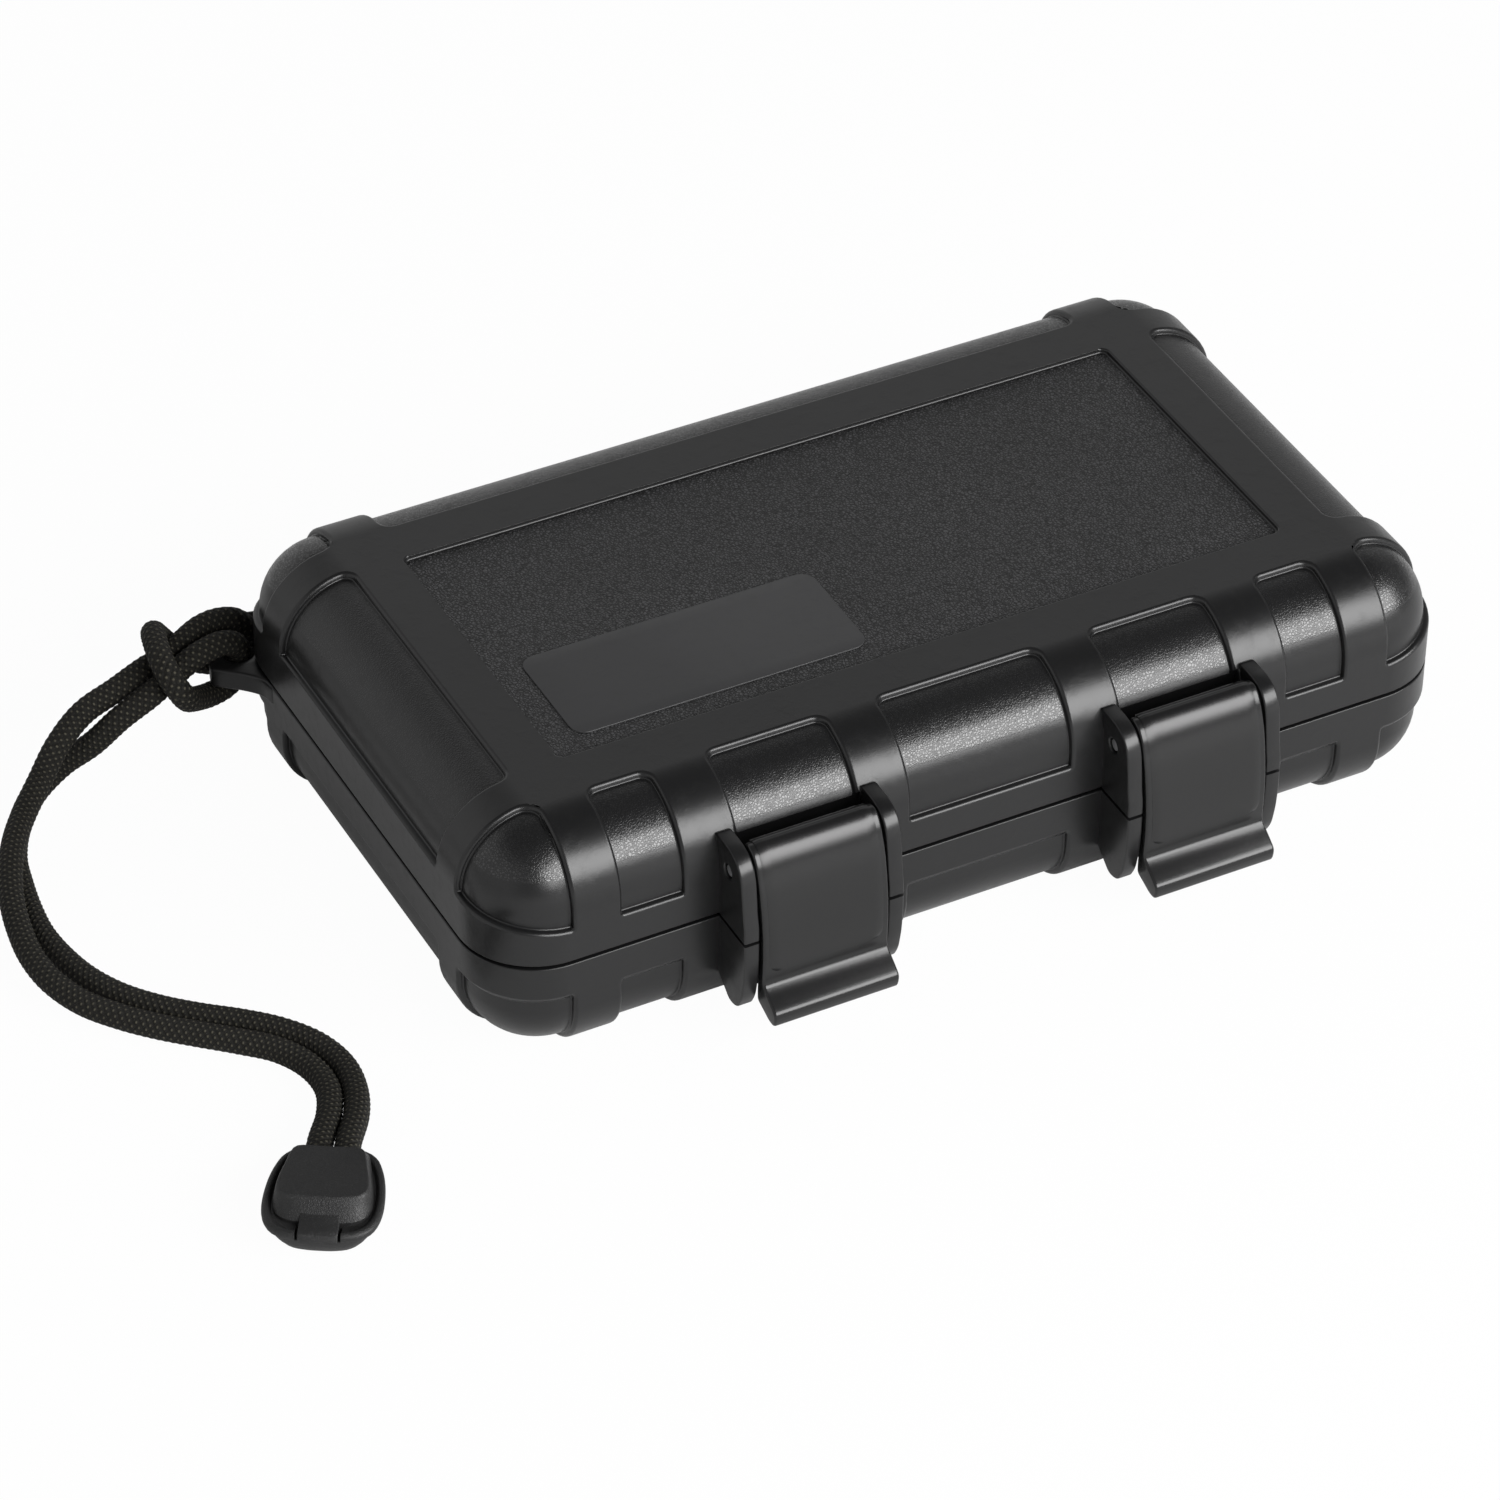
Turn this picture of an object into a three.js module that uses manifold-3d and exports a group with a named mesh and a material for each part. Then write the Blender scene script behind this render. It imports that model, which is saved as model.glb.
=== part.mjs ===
// Small watertight microphone case: two moulded shells on a pinned hinge, two snap latches on pins,
// a rim seal, cut foam inside, and a doubled wrist lanyard hitched through a tab on the base.
// Millimetres, +Z up. The origin is the middle of the flat underside, +X runs along the length,
// and the latches are on the -Y side.
import * as THREE from 'three';
import { mergeVertices } from 'three/addons/utils/BufferGeometryUtils.js';
import Module from 'manifold-3d';

const wasm = await Module();
wasm.setup();

// Case as a whole
const caseLength = 196;
const caseWidth = 113.8;
const caseHeight = 48.8;
const lidHeight = 24.5;
const partingGap = 0.7;
const cornerRadius = 14.8;
const lidEdgeRadius = 14.5;
const baseEdgeRadius = 13;
const wallThickness = 4.4;
const roofThickness = 3.8;
const floorThickness = 3;

// Shallow pockets between the raised ribs. Shares along the front and back are of half the length,
// and those along the ends are of half the width
const pocketDepth = 1.2;
const frontPocketDrop = 17.4;
const sidePocketDrop = 14.5;
const cornerPocketDrop = 16;
const cornerPocketFall = 1.45;
const basePocketTop = 16.8;
const basePocketSlope = 1.8;
const pocketCornerRadius = 2.2;
const centrePocketShare = 0.1663;
const latchPocketShares = [0.2735, 0.5112];
const endPocketShares = [0.6245, 0.7469];
const cornerPocketShare = 0.8439;
const backPocketShare = 0.7408;
const sidePocketShare = 0.58;
const cornerPocketSideShare = 0.7276;

// Recessed panel on the lid, with a low bare plate
const panelEndMargin = 24.5;
const panelSideMargin = 24.6;
const panelDepth = 1;
const panelCornerRadius = 2;
const plateLengthShare = 0.3986;
const plateWidthShare = 0.3715;
const plateHeight = 0.35;
const plateCornerRadius = 3;
const plateEndInset = 6;
const plateFrontInset = 5;

// Rim seal
const grooveWidth = 2;
const grooveDepth = 1.9;
const sealWidth = 1.4;
const sealHeight = 1.6;
const rimTongueWidth = 1.2;
const rimTongueHeight = 0.4;

// Clearances
const fitGap = 0.3;
const latchSideGap = 0.35;
const overrun = 4;

// Steps that curves are drawn in
const outerStepCount = 4;
const innerStepCount = 3;
const edgeStepCount = 6;
const roundSideCount = 20;
const hubSideCount = 24;
const swingSideCount = 28;
const hookSideCount = 64;
const tabStepCount = 5;
const wellStepCount = 20;

// Latches, their ears and pins
const latchShare = 0.3939;
const latchWidth = 24.9;
const latchThickness = 2.4;
const latchPinRadius = 1.2;
const latchPinOut = 3;
const latchPinDrop = 12.4;
const latchHubRadius = 3.2;
const latchSwingRadius = 6.3;
const earThickness = 3;
const earReach = 9.7;
const earTopDrop = 7;
const earBottomDrop = 41.2;
const earOutlineShares = [
  [0.0, 0.0], [0.56, 0.015], [0.72, 0.05], [0.84, 0.12], [0.93, 0.3], [1.0, 0.46],
  [1.0, 0.66], [0.93, 0.84], [0.82, 0.95], [0.68, 1.0], [0.42, 1.0], [-0.14, 0.87],
];
const latchReach = 10.6;
const latchTopDrop = 6.8;
const latchFaceEndDrop = 34.4;
const lipReach = 15.4;
const lipTopDrop = 37.7;
const lipThickness = 3.6;
const lipNoseShare = 0.2;
const lipRootShare = 0.125;
const latchFaceShares = [
  [0.23, 0.05], [0.26, 0.02], [0.41, 0.0], [0.56, 0.03], [0.68, 0.11], [0.78, 0.21], [0.86, 0.3],
  [0.93, 0.46], [0.98, 0.62], [1.0, 0.79], [0.99, 1.0],
];
const latchInnerStartCount = 4;
const keeperRadius = 1.8;
const keeperOut = 4.6;
const keeperDrop = 31.5;
const hookThickness = 2.2;
const hookReach = 4.4;
const pinChamferShare = 0.25;

// Hinge on the back wall
const knuckleRadius = 3.4;
const knuckleShoulderShare = 0.7;
const knuckleBoreClearance = 0.3;
const knuckleWallGap = 0.6;
const hingePinRadius = 1.3;
const lidKnuckleWidth = 16;
const baseKnuckleWidth = 9;
const hingeWebHeight = 8;

// Lanyard tab on the back left corner of the base
const tabThickness = 4.2;
const tabReach = 8.5;
const tabEdgeRound = 0.6;
const tabStartDegrees = 109;
const tabArcStartDegrees = 124;
const tabArcEndDegrees = 167;
const tabFootDegrees = 184;
const tabShoulderShare = 0.46;
const tabFootFall = 5.5;
const tabFootShares = [[0.49, -0.41], [0.28, -0.1], [0.14, 0.15], [0.06, 0.4], [0.0, 1.0]];
const slotInset = 0.3;
const slotWidth = 5.8;
const slotMiddleDegrees = 140;
const slotHalfSpanDegrees = 14;

// Foam
const padThickness = 3.7;
const foamTopDrop = 0.9;
const cableWellRadius = 36;
const cableWellMargin = 7.6;
const wellRowMargin = 9.6;
const wellSideMargin = 12.5;
const wellSpacing = 10;
const microphoneWellWidth = 20;
const packWellGap = 12;
const clipWellGap = 8;
const clipWellLength = 18;
const wellCornerRadius = 4;
const channelWidth = 8;
const lidFoamThickness = 14;
const lidFoamWave = 5;
const wavesAlongCount = 10;
const wavesAcrossCount = 6;
const stepsPerWaveCount = 4;

// Lanyard. Its places are given from the centre of the case's back left corner
const cordDiameter = 4.6;
const cordSideCount = 8;
const strandStepCount = 30;
const hitchStepCount = 62;
// Near strand, from the hitch down to the surface and along it to the cord end
const nearStrandPoints = [
  [-32.8, 5.6, 23.1], [-35.1, 5.2, 22.1], [-40.7, 5.5, 18.9], [-46.0, 7.0, 13.7], [-51.7, 9.0, 9.2],
  [-58.1, 7.4, 5.6], [-63.2, 2.5, 3.1], [-66.7, -4.2, 2.4], [-68.5, -11.5, 2.4], [-69.8, -19.0, 2.4],
  [-70.4, -26.5, 2.5], [-69.6, -34.1, 2.5], [-67.7, -41.4, 2.5], [-64.3, -48.2, 2.5], [-59.6, -54.1, 2.5],
  [-54.1, -59.3, 2.5], [-48.2, -64.1, 2.5], [-42.8, -69.4, 2.5], [-38.7, -75.7, 2.5], [-37.1, -83.1, 2.9],
  [-37.9, -90.6, 3.5], [-40.7, -97.6, 4.2], [-45.2, -103.7, 4.8], [-49.15, -110.15, 4.8],
];
// Far strand, which rides over the near one where the pair lands and lies outside it along the bend
const farStrandPoints = [
  [-31.1, 11.0, 24.5], [-33.6, 10.6, 24.1], [-39.6, 9.9, 22.0], [-46.5, 9.8, 19.0], [-52.5, 7.8, 15.1],
  [-57.5, 5.1, 10.3], [-62.7, 0.5, 7.7], [-67.0, -5.5, 7.4], [-70.5, -12.1, 7.0], [-73.1, -19.0, 6.2],
  [-74.7, -26.2, 5.4], [-75.4, -33.6, 4.8], [-74.5, -41.0, 4.2], [-71.6, -47.8, 3.5], [-67.1, -53.7, 3.1],
  [-61.9, -59.0, 2.8], [-56.3, -64.0, 2.7], [-50.7, -68.8, 2.6], [-45.4, -74.1, 2.6], [-42.4, -80.8, 2.8],
  [-42.6, -88.2, 3.5], [-45.5, -95.0, 4.2], [-49.6, -101.2, 4.8], [-53.45, -107.6, 4.8],
];
// Hitch, from the near strand over the bar of the tab, down the slot, back under the bar, up and
// across over both strands, and by the same way back to the far strand
const hitchPoints = [
  [-32.4, 5.7, 23.3], [-30.1, 6.2, 24.3], [-25.9, 6.7, 26.3], [-22.6, 7.3, 27.0], [-19.3, 8.0, 26.9],
  [-16.4, 8.6, 25.3], [-15.4, 8.9, 22.1], [-16.2, 8.5, 18.9], [-18.8, 7.8, 17.1], [-22.1, 6.9, 16.9],
  [-25.0, 5.6, 17.9], [-27.4, 3.9, 19.6], [-29.1, 1.9, 21.8], [-30.7, 1.2, 24.7], [-31.8, 2.7, 27.4],
  [-32.0, 5.6, 29.0], [-31.5, 8.9, 29.5], [-30.7, 12.2, 29.4], [-29.6, 15.1, 28.0], [-28.1, 16.8, 25.5],
  [-26.4, 17.8, 22.8], [-24.5, 18.1, 20.0], [-22.0, 17.5, 17.8], [-19.0, 16.5, 16.6], [-15.9, 15.3, 16.5],
  [-13.0, 14.1, 17.8], [-11.6, 13.5, 20.7], [-11.9, 13.4, 24.0], [-14.1, 13.9, 26.5], [-17.4, 14.3, 27.2],
  [-20.8, 14.0, 27.0], [-24.0, 13.0, 26.3], [-28.2, 11.4, 24.9], [-30.7, 11.0, 24.5],
];

// Moulded cord end. Outlines are halves, as shares of its half width and half length, and each
// section row holds a share of the height, of the width and of the length
const cordEndX = -54.8;
const cordEndY = -114.7;
const cordEndTurnDegrees = 149;
const cordEndWidth = 21;
const cordEndLength = 22.8;
const cordEndSplitHeight = 4.8;
const cordEndFlangeTop = 6.6;
const cordEndTop = 9.8;
const cordEndPlanShares = [
  [0.0, 1.0], [0.34, 0.99], [0.62, 0.94], [0.83, 0.81], [0.94, 0.63], [0.99, 0.4], [1.0, 0.16],
  [0.98, -0.12], [0.94, -0.36], [0.88, -0.57], [0.79, -0.77], [0.64, -0.91], [0.42, -0.98], [0.0, -1.0],
];
const bowlSectionShares = [
  [0.0, 0.48, 0.62], [0.1, 0.6, 0.74], [0.32, 0.74, 0.84], [0.64, 0.84, 0.91], [1.0, 0.88, 0.94],
];
const flangeSectionShares = [[0.0, 0.98, 0.99], [0.5, 1.0, 1.0], [0.85, 0.97, 0.975], [1.0, 0.92, 0.93]];
const padFootShares = [
  [0.0, 0.7], [0.33, 0.69], [0.55, 0.66], [0.7, 0.57], [0.79, 0.42], [0.82, 0.25], [0.8, 0.0],
  [0.75, -0.28], [0.68, -0.65], [0.62, -0.83],
];
const padShoulderShares = [
  [0.0, 0.47], [0.43, 0.45], [0.67, 0.38], [0.76, 0.26], [0.75, 0.02], [0.68, -0.3], [0.6, -0.62],
  [0.53, -0.7],
];
const padTopShares = [
  [0.0, 0.42], [0.4, 0.4], [0.62, 0.35], [0.7, 0.25], [0.7, 0.0], [0.64, -0.3], [0.57, -0.57], [0.5, -0.64],
];
const padShoulderHeightShare = 0.9;
const tongueWidth = 6.9;
const tongueSideShares = [
  [0.4, 0.0], [0.4, 0.8], [0.7, 0.42], [0.92, 0.38], [1.0, 0.25], [1.02, 0.06], [0.98, 0.0],
];
const notchWidth = 0.5;
const notchStartShare = 0.72;
const throatDepth = 9;
const strandSpacing = 5;

// Places worked out from the sizes above
const halfLength = caseLength / 2;
const halfWidth = caseWidth / 2;
const partingHeight = caseHeight - lidHeight;
const lidRim = partingHeight + partingGap / 2;
const baseRim = partingHeight - partingGap / 2;
const latchX = halfLength * latchShare;
const cornerPocketX = halfLength * cornerPocketShare;
const cornerPocketY = halfWidth * cornerPocketSideShare;
const panelLength = caseLength - 2 * panelEndMargin;
const panelWidth = caseWidth - 2 * panelSideMargin;
const plateLength = panelLength * plateLengthShare;
const plateWidth = panelWidth * plateWidthShare;
const earInner = latchWidth / 2 + latchSideGap;
const earOuter = earInner + earThickness;
const latchPinY = -(halfWidth + latchPinOut);
const latchPinZ = caseHeight - latchPinDrop;
const keeperY = -(halfWidth + keeperOut);
const keeperZ = caseHeight - keeperDrop;
const hingeY = halfWidth + knuckleRadius + knuckleWallGap;
const hingeX = latchX;
const landMiddle = wallThickness / 2;
const cavityRoof = caseHeight - roofThickness;
const spaceEnd = halfLength - wallThickness;
const spaceSide = halfWidth - wallThickness;
const cableWellX = -(spaceEnd - cableWellMargin - cableWellRadius);
const wellRowStart = cableWellX + cableWellRadius + wellSpacing;
const wellRowEnd = spaceEnd - wellRowMargin;
const microphoneWellY = -(spaceSide - wellSideMargin - microphoneWellWidth / 2);
const tabTop = baseRim;
const tabArcX = -(halfLength - cornerRadius);
const tabArcY = halfWidth - cornerRadius;

// Materials
const plastic = (color, roughness) => new THREE.MeshStandardMaterial({ color, roughness, metalness: 0 });
const shellMaterial = () => plastic(0x2b2b2d, 0.42);
const latchMaterial = () => plastic(0x2e2f31, 0.3);
const sealMaterial = () => plastic(0x3a3b3d, 0.8);
const foamMaterial = () => plastic(0x242426, 0.98);
const cordMaterial = () => plastic(0x24221f, 0.9);
const cordEndMaterial = () => plastic(0x29292b, 0.55);
const steelMaterial = () => new THREE.MeshStandardMaterial({ color: 0xb9bbbd, roughness: 0.3, metalness: 1 });

// Solids and booleans
function solidOf(geometry) {
  const bare = geometry.clone();
  bare.deleteAttribute('normal');
  bare.deleteAttribute('uv');
  const merged = mergeVertices(bare);
  return new wasm.Manifold(new wasm.Mesh({
    numProp: 3,
    vertProperties: new Float32Array(merged.attributes.position.array),
    triVerts: new Uint32Array(merged.index.array),
  }));
}

function geometryOf(solid) {
  const mesh = solid.getMesh();
  const geometry = new THREE.BufferGeometry();
  geometry.setAttribute('position', new THREE.BufferAttribute(new Float32Array(mesh.vertProperties), 3));
  geometry.setIndex(new THREE.BufferAttribute(new Uint32Array(mesh.triVerts), 1));
  geometry.computeVertexNormals();
  return geometry;
}

function joined(solids) {
  return solids.reduce((sum, solid) => sum.add(solid));
}

function box(x0, x1, y0, y1, z0, z1) {
  const geometry = new THREE.BoxGeometry(x1 - x0, y1 - y0, z1 - z0);
  geometry.translate((x0 + x1) / 2, (y0 + y1) / 2, (z0 + z1) / 2);
  return solidOf(geometry);
}

function roundedRectangle(halfX, halfY, radius, centreX = 0, centreY = 0) {
  const shape = new THREE.Shape();
  const x = halfX - radius;
  const y = halfY - radius;
  shape.absarc(centreX + x, centreY + y, radius, 0, Math.PI / 2);
  shape.absarc(centreX - x, centreY + y, radius, Math.PI / 2, Math.PI);
  shape.absarc(centreX - x, centreY - y, radius, Math.PI, 1.5 * Math.PI);
  shape.absarc(centreX + x, centreY - y, radius, 1.5 * Math.PI, 2 * Math.PI);
  return shape;
}

function plate(shape, bottom, top, arcSteps = innerStepCount) {
  const geometry = new THREE.ExtrudeGeometry(shape, {
    depth: top - bottom, bevelEnabled: false, curveSegments: arcSteps,
  });
  geometry.translate(0, 0, bottom);
  return solidOf(geometry);
}

// A plan outline with all its edges rounded, from bottom to top
function roundedPlate(shape, bottom, top, round, roundSteps, arcSteps) {
  const geometry = new THREE.ExtrudeGeometry(shape, {
    depth: top - bottom - 2 * round,
    bevelEnabled: true,
    bevelThickness: round,
    bevelSize: round,
    bevelOffset: -round,
    bevelSegments: roundSteps,
    curveSegments: arcSteps,
  });
  geometry.translate(0, 0, bottom + round);
  return solidOf(geometry);
}

// A section drawn in Y and Z, extruded along X
function alongX(shape, x0, x1) {
  const geometry = new THREE.ExtrudeGeometry(shape, { depth: x1 - x0, bevelEnabled: false });
  const turn = new THREE.Matrix4().makeBasis(
    new THREE.Vector3(0, 1, 0),
    new THREE.Vector3(0, 0, 1),
    new THREE.Vector3(1, 0, 0),
  );
  geometry.applyMatrix4(turn);
  geometry.translate(x0, 0, 0);
  return solidOf(geometry);
}

function rodAlongX(radius, x0, x1, y, z, sides = roundSideCount) {
  const geometry = new THREE.CylinderGeometry(radius, radius, x1 - x0, sides);
  geometry.rotateZ(Math.PI / 2);
  geometry.translate((x0 + x1) / 2, y, z);
  return solidOf(geometry);
}

function polygon(points) {
  return new THREE.Shape(points.map(([u, v]) => new THREE.Vector2(u, v)));
}

function meshOf(name, solid, material) {
  const mesh = new THREE.Mesh(geometryOf(solid), material);
  mesh.name = name;
  return mesh;
}

// Shell forms: a box with rounded corners and one rounded edge, cut at the rim
function lidForm(sideInset, frontInset, topInset, edgeRadius, arcSteps) {
  const plan = roundedRectangle(halfLength - sideInset, halfWidth - frontInset, cornerRadius - frontInset);
  const top = caseHeight - topInset;
  return roundedPlate(plan, top - lidHeight - lidEdgeRadius, top, edgeRadius, edgeStepCount, arcSteps);
}

function baseForm(sideInset, frontInset, bottomInset, edgeRadius, arcSteps) {
  const plan = roundedRectangle(halfLength - sideInset, halfWidth - frontInset, cornerRadius - frontInset);
  const top = bottomInset + partingHeight + baseEdgeRadius;
  return roundedPlate(plan, bottomInset, top, edgeRadius, edgeStepCount, arcSteps);
}

function above(height) {
  const reach = caseLength;
  return box(-reach, reach, -reach, reach, height, caseHeight + caseLength);
}

function below(height) {
  const reach = caseLength;
  return box(-reach, reach, -reach, reach, -caseLength, height);
}

// A closed block with rounded upright edges between two corners of its plan
function pocketBlock(x0, x1, y0, y1, bottom, top) {
  const plan = roundedRectangle(
    Math.abs(x1 - x0) / 2, Math.abs(y1 - y0) / 2, pocketCornerRadius, (x0 + x1) / 2, (y0 + y1) / 2,
  );
  return plate(plan, bottom, top);
}

// Blocks over the pockets of one shell: the long sides, the ends and the four corners
function pocketBlocks(edgeRadius, bottoms, top) {
  const rimY = halfWidth - edgeRadius;
  const rimX = halfLength - edgeRadius;
  const outY = halfWidth + overrun;
  const outX = halfLength + overrun;
  const centre = halfLength * centrePocketShare;
  const back = halfLength * backPocketShare;
  const side = halfWidth * sidePocketShare;
  const blocks = [
    pocketBlock(-centre, centre, -outY, -rimY, bottoms.front, top),
    pocketBlock(-back, back, rimY, outY, bottoms.front, top),
  ];
  for (const hand of [-1, 1]) {
    for (const shares of [latchPocketShares, endPocketShares]) {
      const [near, far] = shares.map((share) => hand * share * halfLength);
      blocks.push(pocketBlock(near, far, -outY, -rimY, bottoms.front, top));
    }
    blocks.push(pocketBlock(hand * rimX, hand * outX, -side, side, bottoms.side, top));
    for (const end of [-1, 1]) {
      const corner = pocketBlock(
        hand * cornerPocketX, hand * outX, end * cornerPocketY, end * outY, bottoms.corner, top,
      );
      blocks.push(bottoms.slant ? corner.trimByPlane(...bottoms.slant(hand, end)) : corner);
    }
  }
  return joined(blocks);
}

// The floor of a corner pocket of the lid falls from the end of the case towards its front or back
function cornerSlant(hand, end) {
  const normal = new THREE.Vector3(
    -hand * cornerPocketFall / (halfLength - cornerPocketX),
    end * cornerPocketFall / (halfWidth - cornerPocketY),
    1,
  ).normalize();
  const point = new THREE.Vector3(hand * cornerPocketX, end * cornerPocketY, caseHeight - cornerPocketDrop);
  return [normal.toArray(), normal.dot(point)];
}

function lidPockets() {
  const bottoms = {
    front: caseHeight - frontPocketDrop,
    side: caseHeight - sidePocketDrop,
    corner: lidRim,
    slant: cornerSlant,
  };
  const floor = lidForm(pocketDepth, pocketDepth, pocketDepth, lidEdgeRadius - pocketDepth, innerStepCount);
  return pocketBlocks(lidEdgeRadius, bottoms, caseHeight + overrun).subtract(floor);
}

// The base pockets slope out to the ring at their top, so that the shell leaves its mould
function basePockets() {
  const bottoms = { front: -overrun, side: -overrun, corner: -overrun };
  const floor = baseForm(pocketDepth, pocketDepth, pocketDepth, baseEdgeRadius - pocketDepth, innerStepCount);
  const ringPlan = roundedRectangle(halfLength, halfWidth, cornerRadius);
  const ring = roundedPlate(
    ringPlan, basePocketTop - basePocketSlope, basePocketTop + basePocketSlope + overrun, basePocketSlope,
    1, innerStepCount,
  );
  return pocketBlocks(baseEdgeRadius, bottoms, basePocketTop).subtract(floor).subtract(ring);
}

// Ears that hold a latch. One outline serves both shells, which are parted like the walls
function earPair(centreX) {
  const root = wallThickness / 2;
  const height = earBottomDrop - earTopDrop;
  const outline = earOutlineShares.map(([outShare, downShare]) => [
    -(halfWidth + outShare * earReach), caseHeight - earTopDrop - downShare * height,
  ]);
  outline.push([-(halfWidth - root), caseHeight - earTopDrop - height / 2]);
  outline.push([-(halfWidth - root), caseHeight - earTopDrop]);
  const shape = polygon(outline);
  return [-1, 1].map((side) => {
    const inner = centreX + side * earInner;
    const outer = centreX + side * earOuter;
    return alongX(shape, Math.min(inner, outer), Math.max(inner, outer));
  });
}

function hingeKnuckle(x0, x1, towardsLid) {
  const rim = towardsLid ? lidRim : baseRim;
  const sign = towardsLid ? 1 : -1;
  const root = halfWidth - wallThickness / 2;
  const shoulder = knuckleRadius * knuckleShoulderShare;
  const web = polygon([
    [root, rim], [hingeY, rim], [hingeY + shoulder, rim + sign * shoulder],
    [hingeY, rim + sign * knuckleRadius], [halfWidth, rim + sign * hingeWebHeight],
    [root, rim + sign * hingeWebHeight],
  ]);
  const webSolid = alongX(web, x0, x1);
  const barrel = rodAlongX(knuckleRadius, x0, x1, hingeY, partingHeight);
  return webSolid.add(barrel);
}

function hingeBore(x0, x1) {
  return rodAlongX(hingePinRadius + knuckleBoreClearance, x0, x1, hingeY, partingHeight);
}

function lidShell() {
  let shell = lidForm(0, 0, 0, lidEdgeRadius, outerStepCount).intersect(above(lidRim));
  shell = shell.subtract(lidPockets());
  const panelPlan = roundedRectangle(panelLength / 2, panelWidth / 2, panelCornerRadius);
  const panel = plate(panelPlan, caseHeight - panelDepth, caseHeight + overrun);
  const plateX = -(panelLength / 2 - plateEndInset - plateLength / 2);
  const plateY = -(panelWidth / 2 - plateFrontInset - plateWidth / 2);
  const plateSolid = plate(
    roundedRectangle(plateLength / 2, plateWidth / 2, plateCornerRadius, plateX, plateY),
    caseHeight - roofThickness / 2, caseHeight - panelDepth + plateHeight,
  );
  shell = shell.subtract(panel).add(plateSolid);
  const ears = [-latchX, latchX].flatMap((x) => earPair(x)).map((ear) => ear.intersect(above(lidRim)));
  shell = joined([shell, ...ears]);
  for (const side of [-1, 1]) {
    const middle = side * hingeX;
    shell = shell.add(hingeKnuckle(middle - lidKnuckleWidth / 2, middle + lidKnuckleWidth / 2, true));
  }
  const cavity = lidForm(
    wallThickness, wallThickness, roofThickness, lidEdgeRadius - wallThickness, innerStepCount,
  );
  shell = shell.subtract(cavity);
  const tongue = rimRing(rimTongueWidth, lidRim - rimTongueHeight, lidRim + rimTongueHeight);
  shell = shell.add(tongue);
  for (const side of [-1, 1]) {
    const x = side * latchX;
    shell = shell.subtract(rodAlongX(
      latchSwingRadius, x - earInner, x + earInner, latchPinY, latchPinZ, swingSideCount,
    ));
    shell = shell.subtract(rodAlongX(
      latchPinRadius + fitGap, x - earOuter - overrun, x + earOuter + overrun, latchPinY, latchPinZ,
    ));
    const middle = side * hingeX;
    shell = shell.subtract(hingeBore(middle - lidKnuckleWidth, middle + lidKnuckleWidth));
  }
  return shell;
}

// A ring that follows the middle of the rim, as wide as given
function rimRing(width, bottom, top) {
  const outerInset = landMiddle - width / 2;
  const innerInset = landMiddle + width / 2;
  const outer = roundedRectangle(halfLength - outerInset, halfWidth - outerInset, cornerRadius - outerInset);
  const inner = roundedRectangle(halfLength - innerInset, halfWidth - innerInset, cornerRadius - innerInset);
  outer.holes.push(inner);
  return plate(outer, bottom, top);
}

// Tab on the corner, round the same centre as the corner itself, with a curved slot for the lanyard.
// Its front edge runs in to the end wall and turns into it
function lanyardTab() {
  const degrees = Math.PI / 180;
  const outerRadius = cornerRadius + tabReach;
  const onArc = (radius, angle) => [
    tabArcX + radius * Math.cos(angle * degrees), tabArcY + radius * Math.sin(angle * degrees),
  ];
  const shape = new THREE.Shape();
  const insideRadius = cornerRadius - wallThickness / 2;
  shape.moveTo(...onArc(insideRadius, tabFootDegrees));
  shape.lineTo(...onArc(insideRadius, tabStartDegrees));
  shape.lineTo(...onArc(cornerRadius + tabReach * tabShoulderShare, tabStartDegrees));
  shape.absarc(
    tabArcX, tabArcY, outerRadius, tabArcStartDegrees * degrees, tabArcEndDegrees * degrees, false,
  );
  for (const [outShare, fallShare] of tabFootShares) {
    shape.lineTo(-(halfLength + outShare * tabReach), tabArcY - fallShare * tabFootFall);
  }
  shape.lineTo(-(halfLength - wallThickness / 2), tabArcY - tabFootFall);
  const slotMiddle = cornerRadius + slotInset + slotWidth / 2;
  const slotEnd = slotWidth / 2;
  const slot = new THREE.Path();
  const first = (slotMiddleDegrees - slotHalfSpanDegrees) * degrees;
  const last = (slotMiddleDegrees + slotHalfSpanDegrees) * degrees;
  const endAt = (angle) => [tabArcX + slotMiddle * Math.cos(angle), tabArcY + slotMiddle * Math.sin(angle)];
  slot.absarc(tabArcX, tabArcY, slotMiddle + slotEnd, first, last, false);
  slot.absarc(...endAt(last), slotEnd, last, last + Math.PI, false);
  slot.absarc(tabArcX, tabArcY, slotMiddle - slotEnd, last, first, true);
  slot.absarc(...endAt(first), slotEnd, first + Math.PI, first + 2 * Math.PI, false);
  const slotShape = new THREE.Shape(slot.getPoints(tabStepCount));
  const slotCut = plate(slotShape, tabTop - tabThickness - overrun, tabTop + overrun);
  return roundedPlate(shape, tabTop - tabThickness, tabTop, tabEdgeRound, 1, tabStepCount).subtract(slotCut);
}

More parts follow.
